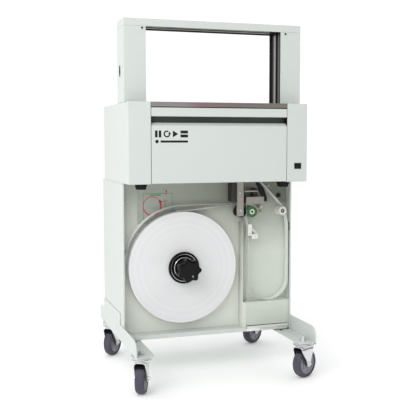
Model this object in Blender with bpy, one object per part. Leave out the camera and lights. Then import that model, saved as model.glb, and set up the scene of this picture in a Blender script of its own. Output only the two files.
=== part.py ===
"""Floor-standing arch banding machine: a banding head on a wheeled cabinet.

The band runs from the reel in the cabinet through the feed rollers, hangs in
a loop in the band pool, climbs into the head and round the arch track.

Frame: metres, +Z up, +X to the operator's right, -Y towards the operator.
The floor is z = 0 and the footprint is centred on the origin.
"""

import math

import bmesh
import bpy
from mathutils import Matrix, Vector

# Clearances and stock
GAP = 0.0003              # between pieces that touch
SHEET = 0.0015            # folded covers and cabinet panels
PLATE = 0.003             # feet and brackets
PANEL_SEAM = 0.0012       # each side of the front panel and the table
BAND_THICKNESS = 0.0004
BAND_WIDTH = 0.030

# Head: the box that carries the table, with two side covers
HEAD_WIDTH = 0.630
HEAD_DEPTH = 0.404
HEAD_HEIGHT = 0.267
HEAD_FRONT = -0.214
TABLE_HEIGHT = 0.944
CLEAR_WIDTH = 0.480       # between the side covers, and inside the arch

# Arch over the table
ARCH_CLEAR_HEIGHT = 0.247
ARCH_BEAM_HEIGHT = 0.025
ARCH_DEPTH = 0.100
ARCH_SETBACK = 0.060
TRACK_DEPTH = 0.020

# Cabinet below the head
CABINET_WIDTH = 0.623
CABINET_SETBACK = 0.115
CABINET_OVERHANG = 0.048    # behind the head
BAY_DEPTH = 0.045
FLOOR_TOP = 0.149
FLOOR_LIP = 0.015

# Feet and casters
FOOT_LENGTH = 0.576
FOOT_WIDTH = 0.066
FOOT_RISE = 0.055
FOOT_TAIL = 0.032           # the upright runs past the sole at the back
CASTER_HEIGHT = 0.128
CASTER_X = 0.288
CASTER_FRONT = 0.042      # ahead of the head's front
CASTER_SPACING = 0.478
WHEEL_OFFSET = 0.006
WHEEL_RADIUS = 0.050
WHEEL_WIDTH = 0.032
CASTER_HEADINGS = {
    "front_left": 24.0,
    "front_right": 63.0,
    "rear_left": 38.0,
    "rear_right": 57.0,
}
BRAKED_CASTERS = ("front_left", "front_right")

# Reel
REEL_X = -0.094
REEL_Z = 0.378
REEL_RADIUS = 0.195
REEL_CORE_RADIUS = 0.038

# Feed rollers and the band pool
DRIVE_X = 0.1205
PINCH_X = 0.1605
ROLLER_Z = 0.566
DRIVE_RADIUS = 0.0194
PINCH_RADIUS = 0.0196
GUIDE_X = 0.2795
GUIDE_RADIUS = 0.014
POOL_LEFT = 0.125
POOL_SHELF_Z = 0.241
POOL_LOOP_RADIUS = 0.0765
POOL_LOOP_X = 0.2275
POOL_LOOP_Z = 0.320

# Places worked out from the driving dimensions
HEAD_BOTTOM = TABLE_HEIGHT - HEAD_HEIGHT
HEAD_BACK = HEAD_FRONT + HEAD_DEPTH
HEAD_MIDDLE = (HEAD_FRONT + HEAD_BACK) / 2
ARCH_FRONT = HEAD_FRONT + ARCH_SETBACK
ARCH_BACK = ARCH_FRONT + ARCH_DEPTH
ARCH_UNDERSIDE = TABLE_HEIGHT + ARCH_CLEAR_HEIGHT
ARCH_TOP = ARCH_UNDERSIDE + ARCH_BEAM_HEIGHT
CABINET_FRONT = HEAD_FRONT + CABINET_SETBACK
CABINET_BACK = HEAD_BACK + CABINET_OVERHANG
WALL_OUTSIDE = CABINET_WIDTH / 2
WALL_INSIDE = WALL_OUTSIDE - SHEET
BAY_BACK = CABINET_FRONT + BAY_DEPTH
BAND_BACK = BAY_BACK - 0.006
BAND_FRONT = BAND_BACK - BAND_WIDTH
FOOT_TOP_PLATE = CASTER_HEIGHT + PLATE
PANEL_HALF = CLEAR_WIDTH / 2 - PANEL_SEAM

# The turned casters reach further right than left, so the machine's own middle stands
# this far from the centre of its footprint
MIDDLE_X = -0.0099


# ---------------------------------------------------------------- helpers

def material(name, colour, roughness, metallic):
    """A plain Principled material."""
    made = bpy.data.materials.new(name)
    made.use_nodes = True
    shader = made.node_tree.nodes["Principled BSDF"]
    shader.inputs["Base Color"].default_value = (*colour, 1.0)
    shader.inputs["Roughness"].default_value = roughness
    shader.inputs["Metallic"].default_value = metallic
    return made


def box(low, high):
    """A rectangular block between two corners."""
    low = Vector(low)
    high = Vector(high)
    shape = bmesh.new()
    place = Matrix.Translation((low + high) / 2) @ Matrix.Diagonal((*(high - low), 1.0))
    bmesh.ops.create_cube(shape, size=1.0, matrix=place)
    return shape


def prism(outline, axis, start, end):
    """A flat outline pushed along X, Y or Z; its points are the other two coordinates."""
    place = {
        "X": lambda a, b, along: (along, a, b),
        "Y": lambda a, b, along: (a, along, b),
        "Z": lambda a, b, along: (a, b, along),
    }[axis]
    shape = bmesh.new()
    face = shape.faces.new([shape.verts.new(place(a, b, start)) for a, b in outline])
    pushed = bmesh.ops.extrude_face_region(shape, geom=[face])
    moved = [item for item in pushed["geom"] if isinstance(item, bmesh.types.BMVert)]
    bmesh.ops.translate(shape, verts=moved, vec=Vector(place(0, 0, end - start)))
    bmesh.ops.recalc_face_normals(shape, faces=shape.faces)
    return shape


def turned(profile, centre, axis, segments=40):
    """A profile of (radius, distance along the axis) points, spun round the axis."""
    shape = bmesh.new()
    rings = [shape.verts.new((radius, 0.0, along)) for radius, along in profile]
    edges = [shape.edges.new(pair) for pair in zip(rings, rings[1:])]
    if profile[0][0] > 0.0:
        edges.append(shape.edges.new((rings[-1], rings[0])))
    bmesh.ops.spin(
        shape, geom=rings + edges, cent=(0, 0, 0), axis=(0, 0, 1),
        angle=math.tau, steps=segments, use_merge=True,
    )
    bmesh.ops.remove_doubles(shape, verts=shape.verts, dist=0.00001)
    turn = {
        "X": Matrix.Rotation(math.pi / 2, 4, "Y"),
        "Y": Matrix.Rotation(-math.pi / 2, 4, "X"),
        "Z": Matrix.Identity(4),
    }[axis]
    bmesh.ops.transform(shape, matrix=Matrix.Translation(centre) @ turn, verts=shape.verts)
    bmesh.ops.recalc_face_normals(shape, faces=shape.faces)
    return shape


def cylinder(radius, start, end, centre, axis, segments=40):
    """A plain round bar along an axis."""
    profile = [(0.0, start), (radius, start), (radius, end), (0.0, end)]
    return turned(profile, centre, axis, segments)


def tube(inner, outer, start, end, centre, axis, segments=40):
    """A round bar with a bore."""
    profile = [(inner, start), (outer, start), (outer, end), (inner, end)]
    return turned(profile, centre, axis, segments)


def ribbon(points, thickness, front, back):
    """A thin strip that follows (x, z) points, as wide as front to back."""
    shape = bmesh.new()
    rings = []
    for index, point in enumerate(points):
        before = Vector(points[max(index - 1, 0)])
        after = Vector(points[min(index + 1, len(points) - 1)])
        along = (after - before).normalized()
        side = Vector((-along.y, along.x)) * thickness / 2
        inner = Vector(point) - side
        outer = Vector(point) + side
        rings.append([
            shape.verts.new((inner.x, front, inner.y)),
            shape.verts.new((outer.x, front, outer.y)),
            shape.verts.new((outer.x, back, outer.y)),
            shape.verts.new((inner.x, back, inner.y)),
        ])
    for ring, following in zip(rings, rings[1:]):
        for corner in range(4):
            other = (corner + 1) % 4
            shape.faces.new((ring[corner], ring[other], following[other], following[corner]))
    shape.faces.new(rings[0])
    shape.faces.new(rings[-1])
    bmesh.ops.recalc_face_normals(shape, faces=shape.faces)
    return shape


def arc(centre, radius, start, end, steps):
    """Points on a circle between two angles in degrees."""
    points = []
    for step in range(steps + 1):
        angle = math.radians(start + (end - start) * step / steps)
        points.append((centre[0] + radius * math.cos(angle), centre[1] + radius * math.sin(angle)))
    return points


def make(name, shape, look, pivot=(0.0, 0.0, 0.0), parent=None):
    """Turn a shape into the named object, with its origin at the pivot."""
    bmesh.ops.translate(shape, verts=shape.verts, vec=-Vector(pivot))
    mesh = bpy.data.meshes.new(name)
    shape.to_mesh(mesh)
    shape.free()
    mesh.materials.append(look)
    mesh.shade_smooth()
    mesh.set_sharp_from_angle(angle=math.radians(30))
    made = bpy.data.objects.new(name, mesh)
    bpy.context.scene.collection.objects.link(made)
    made.location = pivot
    made.parent = parent
    return made


def carve(target, operation, *shapes):
    """Cut shapes out of an object (DIFFERENCE) or join them to it (UNION)."""
    for shape in shapes:
        bmesh.ops.translate(shape, verts=shape.verts, vec=-target.location)
        mesh = bpy.data.meshes.new("tool")
        shape.to_mesh(mesh)
        shape.free()
        tool = bpy.data.objects.new("tool", mesh)
        bpy.context.scene.collection.objects.link(tool)
        tool.location = target.location
        tool.parent = target.parent
        step = target.modifiers.new("step", "BOOLEAN")
        step.operation = operation
        step.object = tool
        bpy.context.view_layer.update()
        graph = bpy.context.evaluated_depsgraph_get()
        result = bpy.data.meshes.new_from_object(target.evaluated_get(graph))
        target.modifiers.remove(step)
        target.data = result
        bpy.data.objects.remove(tool)
    target.data.name = target.name
    target.data.set_sharp_from_angle(angle=math.radians(30))
    return target


# ---------------------------------------------------------------- materials

def make_looks():
    """The machine's finishes."""
    return {
        "paint": material("paint", (0.74, 0.78, 0.74), 0.42, 0.0),
        "steel": material("steel", (0.62, 0.60, 0.57), 0.34, 1.0),
        "zinc": material("zinc", (0.78, 0.79, 0.80), 0.30, 1.0),
        "chrome": material("chrome", (0.85, 0.86, 0.86), 0.12, 1.0),
        "black_plastic": material("black_plastic", (0.015, 0.015, 0.017), 0.35, 0.0),
        "white_plastic": material("white_plastic", (0.86, 0.87, 0.84), 0.40, 0.0),
        "rubber": material("rubber", (0.020, 0.020, 0.022), 0.80, 0.0),
        "tyre": material("tyre", (0.17, 0.17, 0.19), 0.62, 0.0),
        "green": material("green", (0.02, 0.30, 0.08), 0.38, 0.0),
        "band": material("band", (0.90, 0.91, 0.92), 0.45, 0.0),
        "acrylic": material("acrylic", (0.80, 0.88, 0.83), 0.08, 0.0),
        "motor": material("motor", (0.16, 0.17, 0.18), 0.50, 0.4),
    }


# ---------------------------------------------------------------- feet and casters

def build_feet(looks):
    """Two bent plates: a flat sole on the casters and an upright bolted to the cabinet."""
    corner = 0.034
    tail_corner = 0.012
    tail_chamfer = 0.014
    tab_top = 0.222
    tab_front = HEAD_FRONT + 0.158
    tab_back = CABINET_BACK - 0.004
    nose = FOOT_WIDTH / 2
    sole = CASTER_HEIGHT
    top = sole + FOOT_RISE
    front = HEAD_MIDDLE - FOOT_LENGTH / 2
    back = HEAD_MIDDLE + FOOT_LENGTH / 2
    upright_in = WALL_OUTSIDE + GAP
    upright_out = upright_in + PLATE
    quarter_turns = [math.pi / 2 * step / 8 for step in range(1, 9)]
    tail = back + FOOT_TAIL
    outline = [(front, sole), (tail - tail_chamfer, sole), (tail, sole + tail_chamfer)]
    outline += arc((tail - tail_corner, top - tail_corner), tail_corner, 0, 90, 6)
    outline += [(tab_back, top), (tab_back, tab_top), (tab_front, tab_top), (tab_front, top)]
    outline += arc((front + corner, top - corner), corner, 90, 180, 6)
    for side, sign in (("left", -1), ("right", 1)):
        edges = sorted((sign * upright_in, sign * upright_out))
        foot = make(f"foot_{side}", prism(outline, "X", *edges), looks["paint"])
        middle = sign * (upright_out - nose)
        edge = sign * (upright_out - PLATE / 2)
        plan = [(edge, front), (middle, front)]
        plan += [
            (middle - sign * nose * math.sin(turn), front + nose * (1 - math.cos(turn)))
            for turn in quarter_turns
        ]
        plan += [
            (middle - sign * nose * math.cos(turn), back - nose * (1 - math.sin(turn)))
            for turn in quarter_turns
        ]
        plan += [(edge, back)]
        carve(foot, "UNION", prism(plan, "Z", sole, FOOT_TOP_PLATE))


def build_casters(looks):
    """Four swivel casters; the front pair has brake pedals."""
    front_y = HEAD_FRONT - CASTER_FRONT
    rear_y = front_y + CASTER_SPACING
    for corner, heading in CASTER_HEADINGS.items():
        post = bpy.data.objects.new(f"swivel_{corner}", None)
        bpy.context.scene.collection.objects.link(post)
        post.location = (
            CASTER_X if corner.endswith("right") else -CASTER_X,
            rear_y if corner.startswith("rear") else front_y,
            0.0,
        )
        post.rotation_euler = (0.0, 0.0, -math.radians(heading))
        build_fork(f"fork_{corner}", post, looks)
        build_wheel(f"wheel_{corner}", post, looks)
        if corner in BRAKED_CASTERS:
            build_pedal(f"pedal_{corner}", post, looks)


def build_fork(name, post, looks):
    """Round crown, bridge and two tapered legs with the axle through them."""
    crown_radius = 0.033
    crown_top = CASTER_HEIGHT - PLATE - GAP
    crown_bottom = crown_top - 0.010
    bridge_bottom = crown_bottom - 0.004
    leg_in = WHEEL_WIDTH / 2 + 0.0022
    leg_out = leg_in + PLATE
    axle_radius = 0.005
    axle_half = leg_out + 0.003
    toe = 0.026
    heel = -0.032
    hub = WHEEL_OFFSET
    boss = 0.010
    outline = [(heel, crown_bottom), (heel, bridge_bottom - 0.004)]
    outline += arc((hub, WHEEL_RADIUS), boss, 200, 350, 8)
    outline += [(toe, bridge_bottom - 0.004), (toe, crown_bottom)]
    fork = make(name, prism(outline, "X", leg_in, leg_out), looks["zinc"], parent=post)
    carve(
        fork, "UNION",
        prism(outline, "X", -leg_out, -leg_in),
        box((-leg_out, heel, bridge_bottom), (leg_out, toe, crown_bottom)),
        cylinder(crown_radius, bridge_bottom + 0.001, crown_top, (0, 0, 0), "Z", 32),
        cylinder(axle_radius, -axle_half, axle_half, (0, hub, WHEEL_RADIUS), "X", 16),
    )


def build_wheel(name, post, looks):
    """Rubber tyre with rounded shoulders on a dished core."""
    bore = 0.0053
    half = WHEEL_WIDTH / 2
    side = [
        (bore, half + 0.001),
        (0.014, half + 0.001),
        (0.017, half - 0.004),
        (0.034, half - 0.004),
        (0.037, half - 0.0005),
        (0.044, half),
        (0.0485, half - 0.004),
        (WHEEL_RADIUS, half - 0.010),
    ]
    profile = side + [(radius, -along) for radius, along in reversed(side)]
    centre = (0.0, WHEEL_OFFSET, WHEEL_RADIUS)
    make(name, turned(profile, centre, "X", 32), looks["tyre"], pivot=centre, parent=post)


def build_pedal(name, post, looks):
    """Brake pedal hinged on the crown's far side from the wheel."""
    half = 0.014
    hinge = (0.0, 0.037, 0.108)
    outline = [(0.0345, 0.102), (0.054, 0.097), (0.056, 0.100), (0.038, 0.113), (0.0345, 0.112)]
    make(name, prism(outline, "X", -half, half), looks["black_plastic"], pivot=hinge, parent=post)


# ---------------------------------------------------------------- cabinet

def build_cabinet(looks):
    """Side walls, floor pan, the plate that carries the reel, and the rear cover."""
    bottom = FOOT_TOP_PLATE + GAP
    top = HEAD_BOTTOM - GAP
    hem = 0.006
    flange = 0.015
    for side, sign in (("left", -1), ("right", 1)):
        outline = [
            (sign * WALL_OUTSIDE, CABINET_FRONT),
            (sign * WALL_OUTSIDE, CABINET_BACK),
            (sign * (WALL_OUTSIDE - flange), CABINET_BACK),
            (sign * (WALL_OUTSIDE - flange), CABINET_BACK - SHEET),
            (sign * WALL_INSIDE, CABINET_BACK - SHEET),
            (sign * WALL_INSIDE, CABINET_FRONT + SHEET),
            (sign * (WALL_OUTSIDE - hem), CABINET_FRONT + SHEET),
            (sign * (WALL_OUTSIDE - hem), CABINET_FRONT),
        ]
        make(f"cabinet_wall_{side}", prism(outline, "Z", bottom, top), looks["paint"])

    inner = WALL_INSIDE - GAP
    lip_front = CABINET_FRONT + SHEET + GAP
    lip_back = CABINET_BACK - 2 * SHEET - 2 * GAP
    lip_bottom = FLOOR_TOP - FLOOR_LIP
    outline = [
        (lip_front, lip_bottom),
        (lip_front, FLOOR_TOP),
        (lip_back, FLOOR_TOP),
        (lip_back, lip_bottom),
        (lip_back - SHEET, lip_bottom),
        (lip_back - SHEET, FLOOR_TOP - SHEET),
        (lip_front + SHEET, FLOOR_TOP - SHEET),
        (lip_front + SHEET, lip_bottom),
    ]
    make("cabinet_floor", prism(outline, "X", -inner, inner), looks["paint"])

    spindle_hole = 0.014
    drive_hole = 0.009
    plate = make(
        "mounting_plate",
        box((-inner, BAY_BACK, FLOOR_TOP + GAP), (inner, BAY_BACK + 2 * SHEET, top)),
        looks["paint"],
    )
    through = (BAY_BACK - PLATE, BAY_BACK + 2 * PLATE)
    carve(
        plate, "DIFFERENCE",
        cylinder(spindle_hole, *through, (REEL_X, 0, REEL_Z), "Y", 32),
        cylinder(drive_hole, *through, (DRIVE_X, 0, ROLLER_Z), "Y", 24),
    )

    cover_half = WALL_OUTSIDE - GAP
    ledge_front = HEAD_BACK - 0.010
    cover_bottom = FLOOR_TOP + GAP
    outline = [
        (CABINET_BACK, cover_bottom),
        (CABINET_BACK, top),
        (ledge_front, top),
        (ledge_front, top - SHEET),
        (CABINET_BACK - SHEET, top - SHEET),
        (CABINET_BACK - SHEET, cover_bottom),
    ]
    reach = cover_half - flange - GAP
    cover = make("cabinet_rear_cover", prism(outline, "X", -reach, reach), looks["paint"])
    inlet_half = 0.024
    inlet_z = 0.205
    inlet_x = -0.200
    carve(
        cover, "DIFFERENCE",
        box(
            (inlet_x - inlet_half, CABINET_BACK - PLATE, inlet_z - inlet_half / 2),
            (inlet_x + inlet_half, CABINET_BACK + PLATE, inlet_z + inlet_half / 2),
        ),
    )
    reach = inlet_half - GAP
    inlet = make(
        "power_inlet",
        box(
            (inlet_x - reach, CABINET_BACK - 0.030, inlet_z - reach / 2),
            (inlet_x + reach, CABINET_BACK + 0.001, inlet_z + reach / 2),
        ),
        looks["black_plastic"],
    )
    socket = 0.016
    carve(
        inlet, "DIFFERENCE",
        box(
            (inlet_x - socket, CABINET_BACK - 0.016, inlet_z - socket / 2),
            (inlet_x + socket, CABINET_BACK + PLATE, inlet_z + socket / 2),
        ),
    )

    catch_y = HEAD_FRONT + 0.080
    catch_depth = 0.030
    catch_bottom = HEAD_BOTTOM - 0.021
    for side, centre in (("left", -0.2555), ("right", 0.2605)):
        wide = 0.0195
        narrow = 0.014
        outline = [
            (centre - wide, HEAD_BOTTOM - GAP),
            (centre + wide, HEAD_BOTTOM - GAP),
            (centre + narrow, catch_bottom),
            (centre - narrow, catch_bottom),
        ]
        shape = prism(outline, "Y", catch_y - catch_depth / 2, catch_y + catch_depth / 2)
        make(f"door_catch_{side}", shape, looks["rubber"])


# ---------------------------------------------------------------- head

def build_head(looks):
    """Side covers, tray, rear cover, fascia, folding front panel and table plates."""
    for side, sign in (("left", -1), ("right", 1)):
        outer = sign * HEAD_WIDTH / 2
        inner = sign * CLEAR_WIDTH / 2
        low, high = sorted((outer, inner))
        cover = make(
            f"side_cover_{side}",
            box((low, HEAD_FRONT, HEAD_BOTTOM), (high, HEAD_BACK, TABLE_HEIGHT)),
            looks["paint"],
        )
        low, high = sorted((outer - sign * SHEET, inner - sign * PLATE))
        hollow = box(
            (low, HEAD_FRONT + SHEET, HEAD_BOTTOM + SHEET),
            (high, HEAD_BACK - SHEET, TABLE_HEIGHT - SHEET),
        )
        carve(cover, "DIFFERENCE", hollow)
        if side == "right":
            build_switch(cover, looks)

    tray_front = HEAD_FRONT + 0.022
    tray = make(
        "head_tray",
        box(
            (-PANEL_HALF, tray_front, HEAD_BOTTOM),
            (PANEL_HALF, HEAD_BACK - SHEET - GAP, HEAD_BOTTOM + SHEET),
        ),
        looks["paint"],
    )
    carve(
        tray, "DIFFERENCE",
        box(
            (0.165, BAND_FRONT - 0.006, HEAD_BOTTOM - PLATE),
            (0.226, BAND_BACK + 0.006, HEAD_BOTTOM + PLATE),
        ),
    )
    build_rear_cover(looks)
    build_front(looks)
    build_table(looks)


def build_switch(cover, looks):
    """Rocker switch in the right cover's front, resting on one of its two positions."""
    centre = Vector((0.2803, HEAD_FRONT, 0.7313))
    half_width = 0.0127
    half_height = 0.0094
    window = box(
        centre - Vector((half_width, PLATE, half_height)),
        centre + Vector((half_width, PLATE, half_height)),
    )
    carve(cover, "DIFFERENCE", window)
    tilt = math.radians(8)
    reach = half_width - 0.0015
    shape = box(
        (-reach, -0.0022, -half_height + GAP),
        (reach, 0.008, half_height - GAP),
    )
    pivot = centre + Vector((0.0, 0.006, 0.0))
    bmesh.ops.rotate(shape, verts=shape.verts, cent=(0, 0.006, 0), matrix=Matrix.Rotation(tilt, 3, "Z"))
    bmesh.ops.translate(shape, verts=shape.verts, vec=centre)
    make("rocker_switch", shape, looks["black_plastic"], pivot=pivot)


def build_rear_cover(looks):
    """Removable cover over the head's back, with rows of louvre slots."""
    bottom = HEAD_BOTTOM + SHEET + GAP
    top = TABLE_HEIGHT - 0.018
    cover = make(
        "head_rear_cover",
        box((-PANEL_HALF, HEAD_BACK - SHEET, bottom), (PANEL_HALF, HEAD_BACK, top)),
        looks["paint"],
    )
    slot_half = 0.045
    slot_height = 0.005
    slot_pitch = 0.016
    slots = []
    for column in (-0.120, 0.120):
        for row in range(5):
            low = bottom + 0.060 + row * slot_pitch
            slots.append(box(
                (column - slot_half, HEAD_BACK - PLATE, low),
                (column + slot_half, HEAD_BACK + PLATE, low + slot_height),
            ))
    carve(cover, "DIFFERENCE", *slots)


def build_front(looks):
    """Fixed fascia with the grip recess behind it, and the panel that folds down."""
    recess = 0.030
    strip_top = TABLE_HEIGHT - 0.018
    strip_bottom = TABLE_HEIGHT - 0.047
    recess_bottom = 0.862
    front = HEAD_FRONT
    outline = [
        (front, strip_top),
        (front, strip_bottom),
        (front + recess - SHEET, strip_bottom),
        (front + recess - SHEET, recess_bottom),
        (front + recess, recess_bottom),
        (front + recess, strip_bottom + SHEET),
        (front + SHEET, strip_bottom + SHEET),
        (front + SHEET, strip_top),
    ]
    make("upper_fascia", prism(outline, "X", -PANEL_HALF, PANEL_HALF), looks["paint"])

    panel_bottom = HEAD_BOTTOM + 0.002
    panel_top = 0.867
    grip_rise = 0.010
    grip_run = 0.014
    flange = 0.018
    outline = [
        (front, panel_bottom),
        (front, panel_top),
        (front + grip_run, panel_top + grip_rise),
        (front + grip_run + 0.0009, panel_top + grip_rise - 0.0012),
        (front + SHEET, panel_top - 0.0008),
        (front + SHEET, panel_bottom + SHEET),
        (front + flange, panel_bottom + SHEET),
        (front + flange, panel_bottom),
    ]
    hinge = (0.0, front + 0.010, HEAD_BOTTOM + 0.006)
    make("front_panel", prism(outline, "X", -PANEL_HALF, PANEL_HALF), looks["paint"], pivot=hinge)


def build_table(looks):
    """Two folded steel table plates with the band deck between them."""
    lip = 0.016
    thick = 0.002
    front_end = ARCH_FRONT - GAP
    outline = [
        (HEAD_FRONT, TABLE_HEIGHT - lip),
        (HEAD_FRONT, TABLE_HEIGHT),
        (front_end, TABLE_HEIGHT),
        (front_end, TABLE_HEIGHT - thick),
        (HEAD_FRONT + thick, TABLE_HEIGHT - thick),
        (HEAD_FRONT + thick, TABLE_HEIGHT - lip),
    ]
    make("table_front", prism(outline, "X", -PANEL_HALF, PANEL_HALF), looks["steel"])
    back_start = ARCH_BACK + GAP
    outline = [
        (back_start, TABLE_HEIGHT - thick),
        (back_start, TABLE_HEIGHT),
        (HEAD_BACK, TABLE_HEIGHT),
        (HEAD_BACK, TABLE_HEIGHT - lip),
        (HEAD_BACK - thick, TABLE_HEIGHT - lip),
        (HEAD_BACK - thick, TABLE_HEIGHT - thick),
    ]
    make("table_rear", prism(outline, "X", -PANEL_HALF, PANEL_HALF), looks["steel"])

    deck_thick = 0.004
    deck = make(
        "band_deck",
        box((-PANEL_HALF, ARCH_FRONT, TABLE_HEIGHT - deck_thick), (PANEL_HALF, ARCH_BACK, TABLE_HEIGHT)),
        looks["steel"],
    )
    window_half = 0.040
    window_front = ARCH_FRONT + 0.022
    window_back = ARCH_BACK - 0.006
    carve(
        deck, "DIFFERENCE",
        box(
            (-window_half, window_front, TABLE_HEIGHT - 2 * deck_thick),
            (window_half, window_back, TABLE_HEIGHT + deck_thick),
        ),
    )
    anvil_half = window_half - GAP
    stroke = 0.024
    make(
        "anvil_slide",
        box(
            (-anvil_half, window_front + GAP, TABLE_HEIGHT - deck_thick),
            (anvil_half, window_back - stroke - 2 * GAP, TABLE_HEIGHT),
        ),
        looks["zinc"],
    )


# ---------------------------------------------------------------- arch

def build_arch(looks):
    """Two hollow columns and a beam, lined with the black band track."""
    wall = 0.002
    foot = TABLE_HEIGHT + GAP
    column_top = ARCH_UNDERSIDE + 0.001 - GAP
    inner = CLEAR_WIDTH / 2
    groove = 0.006
    groove_front = ARCH_FRONT + 0.062
    groove_back = groove_front + BAND_WIDTH + 0.002
    side_groove_front = ARCH_FRONT + 0.025
    side_groove_back = ARCH_FRONT + 0.041
    lining_front = ARCH_FRONT + wall + GAP
    lining_back = ARCH_BACK - wall - GAP
    for side, sign in (("left", -1), ("right", 1)):
        low, high = sorted((sign * HEAD_WIDTH / 2, sign * inner))
        column = make(
            f"column_{side}",
            box((low, ARCH_FRONT, foot), (high, ARCH_BACK, column_top)),
            looks["paint"],
        )
        low, high = sorted((sign * (HEAD_WIDTH / 2 - wall), sign * (inner - wall)))
        hollow = box(
            (low, ARCH_FRONT + wall, foot + wall),
            (high, ARCH_BACK - wall, column_top + wall),
        )
        carve(column, "DIFFERENCE", hollow)
        low, high = sorted((sign * inner, sign * (inner + TRACK_DEPTH)))
        track = make(
            f"track_{side}",
            box((low, lining_front, foot + wall + GAP), (high, lining_back, column_top)),
            looks["black_plastic"],
        )
        low, high = sorted((sign * (inner - wall), sign * (inner + groove)))
        carve(
            track, "DIFFERENCE",
            box((low, groove_front, foot), (high, groove_back, ARCH_TOP)),
            box((low, side_groove_front, foot), (high, side_groove_back, ARCH_TOP)),
        )

    beam_bottom = ARCH_UNDERSIDE + 0.001
    half = HEAD_WIDTH / 2
    beam = make(
        "arch_beam",
        box((-half, ARCH_FRONT, beam_bottom), (half, ARCH_BACK, ARCH_TOP)),
        looks["paint"],
    )
    carve(
        beam, "DIFFERENCE",
        box(
            (-half + wall, ARCH_FRONT + wall, beam_bottom - wall),
            (half - wall, ARCH_BACK - wall, ARCH_TOP - wall),
        ),
    )
    reach = inner + TRACK_DEPTH
    lining_top = beam_bottom + 0.016
    track = make(
        "track_top",
        box((-reach, lining_front, beam_bottom), (reach, lining_back, lining_top)),
        looks["black_plastic"],
    )
    carve(
        track, "DIFFERENCE",
        box(
            (-reach - wall, groove_front, beam_bottom - wall),
            (reach + wall, groove_back, beam_bottom + groove),
        ),
        box(
            (-reach - wall, side_groove_front, beam_bottom - wall),
            (reach + wall, side_groove_back, beam_bottom + groove),
        ),
    )


# ---------------------------------------------------------------- reel

def build_reel(looks):
    """Hub with its shaft, the roll of band, the clamping cup and the star knob."""
    axis = (REEL_X, 0.0, REEL_Z)
    shaft = 0.010
    roll_back = BAND_BACK + 0.0005
    roll_front = BAND_FRONT - 0.0005
    disc_radius = 0.090
    disc_back = roll_back + GAP + 0.002
    cup_radius = 0.0555
    cup_front = roll_front - 0.010
    knob_front = HEAD_FRONT + 0.046
    knob_back = knob_front + 0.032
    core = REEL_CORE_RADIUS - GAP
    shaft_end = BAY_BACK + 0.045

    profile = [
        (0.0, knob_back - 0.012),
        (shaft, knob_back - 0.012),
        (shaft, roll_front - GAP),
        (core, roll_front - GAP),
        (core, roll_back + GAP),
        (disc_radius, roll_back + GAP),
        (disc_radius, disc_back),
        (shaft, disc_back),
        (shaft, shaft_end),
        (0.0, shaft_end),
    ]
    make("reel_hub", turned(profile, axis, "Y", 48), looks["black_plastic"], pivot=axis)

    roll = tube(REEL_CORE_RADIUS, REEL_RADIUS, roll_front, roll_back, axis, "Y", 96)
    make("band_reel", roll, looks["band"], pivot=axis)

    bore = shaft + GAP
    seat = roll_front - 2 * GAP
    cone = 0.030
    cone_front = knob_back + 0.001
    profile = [
        (bore, seat),
        (cup_radius, seat),
        (cup_radius, cup_front),
        (cup_radius - 0.006, cup_front - 0.003),
        (cup_radius - 0.011, cup_front),
        (cone, cup_front + 0.002),
        (cone - 0.006, cone_front),
        (bore, cone_front),
    ]
    make("clamp_cup", turned(profile, axis, "Y", 48), looks["black_plastic"], pivot=axis)

    lobes = 7
    lobe_height = 0.0045
    mean_radius = 0.0385
    steps = 70
    outline = []
    for step in range(steps):
        angle = math.tau * step / steps
        radius = mean_radius + lobe_height * math.cos(lobes * angle)
        outline.append((REEL_X + radius * math.cos(angle), REEL_Z + radius * math.sin(angle)))
    knob = make(
        "star_knob", prism(outline, "Y", knob_front, knob_back), looks["black_plastic"],
        pivot=(REEL_X, knob_front, REEL_Z),
    )
    blind = knob_back - 0.012 - GAP
    carve(knob, "DIFFERENCE", cylinder(bore, blind, knob_back + PLATE, axis, "Y", 32))

    housing = 0.030
    bearing = tube(bore, housing, BAY_BACK + 2 * SHEET + GAP, shaft_end - 0.004, axis, "Y", 36)
    make("spindle_bearing", bearing, looks["zinc"])


# ---------------------------------------------------------------- band

def build_band(looks):
    """The slack turn and run to the feed rollers, and the loop in the pool."""
    reel = (REEL_X, REEL_Z)
    outer = REEL_RADIUS
    slack = 0.0175
    slack_gain = 0.004
    wrap_start = 176
    wrap_turn = 78
    steps = 24
    wrap = []
    for step in range(steps + 1):
        share = step / steps
        angle = math.radians(wrap_start - wrap_turn * share)
        radius = outer + slack + slack_gain * share
        wrap.append((reel[0] + radius * math.cos(angle), reel[1] + radius * math.sin(angle)))
    bend = DRIVE_RADIUS + GAP + BAND_THICKNESS / 2
    wheel = (DRIVE_X, ROLLER_Z)
    run = wrap + [(-0.070, 0.5945), (0.000, 0.5955), (0.076, 0.5950), (0.100, 0.5935)]
    over_wheel = (84, 4, 12)
    run += arc(wheel, bend, *over_wheel)
    make("band_run", ribbon(run, BAND_THICKNESS, BAND_FRONT, BAND_BACK), looks["band"])

    nip_x = DRIVE_X + bend
    left = POOL_LOOP_X - POOL_LOOP_RADIUS
    guide = (GUIDE_X, ROLLER_Z)
    over = GUIDE_RADIUS + GAP + BAND_THICKNESS / 2
    falling = [(nip_x, ROLLER_Z - 0.0005), (nip_x + 0.001, 0.545), (left, 0.500), (left, 0.400)]
    rising = [(0.3040, 0.420), (0.3030, 0.500), (0.2985, 0.540)]
    to_head = [(0.2065, 0.6635), (0.196, 0.6745)]
    half_turn = (180, 360, 28)
    over_guide = (5, 52, 8)
    loop = falling + arc((POOL_LOOP_X, POOL_LOOP_Z), POOL_LOOP_RADIUS, *half_turn)
    loop += rising + arc(guide, over, *over_guide) + to_head
    make("band_pool", ribbon(loop, BAND_THICKNESS, BAND_FRONT, BAND_BACK), looks["band"])


# ---------------------------------------------------------------- band pool

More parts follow.
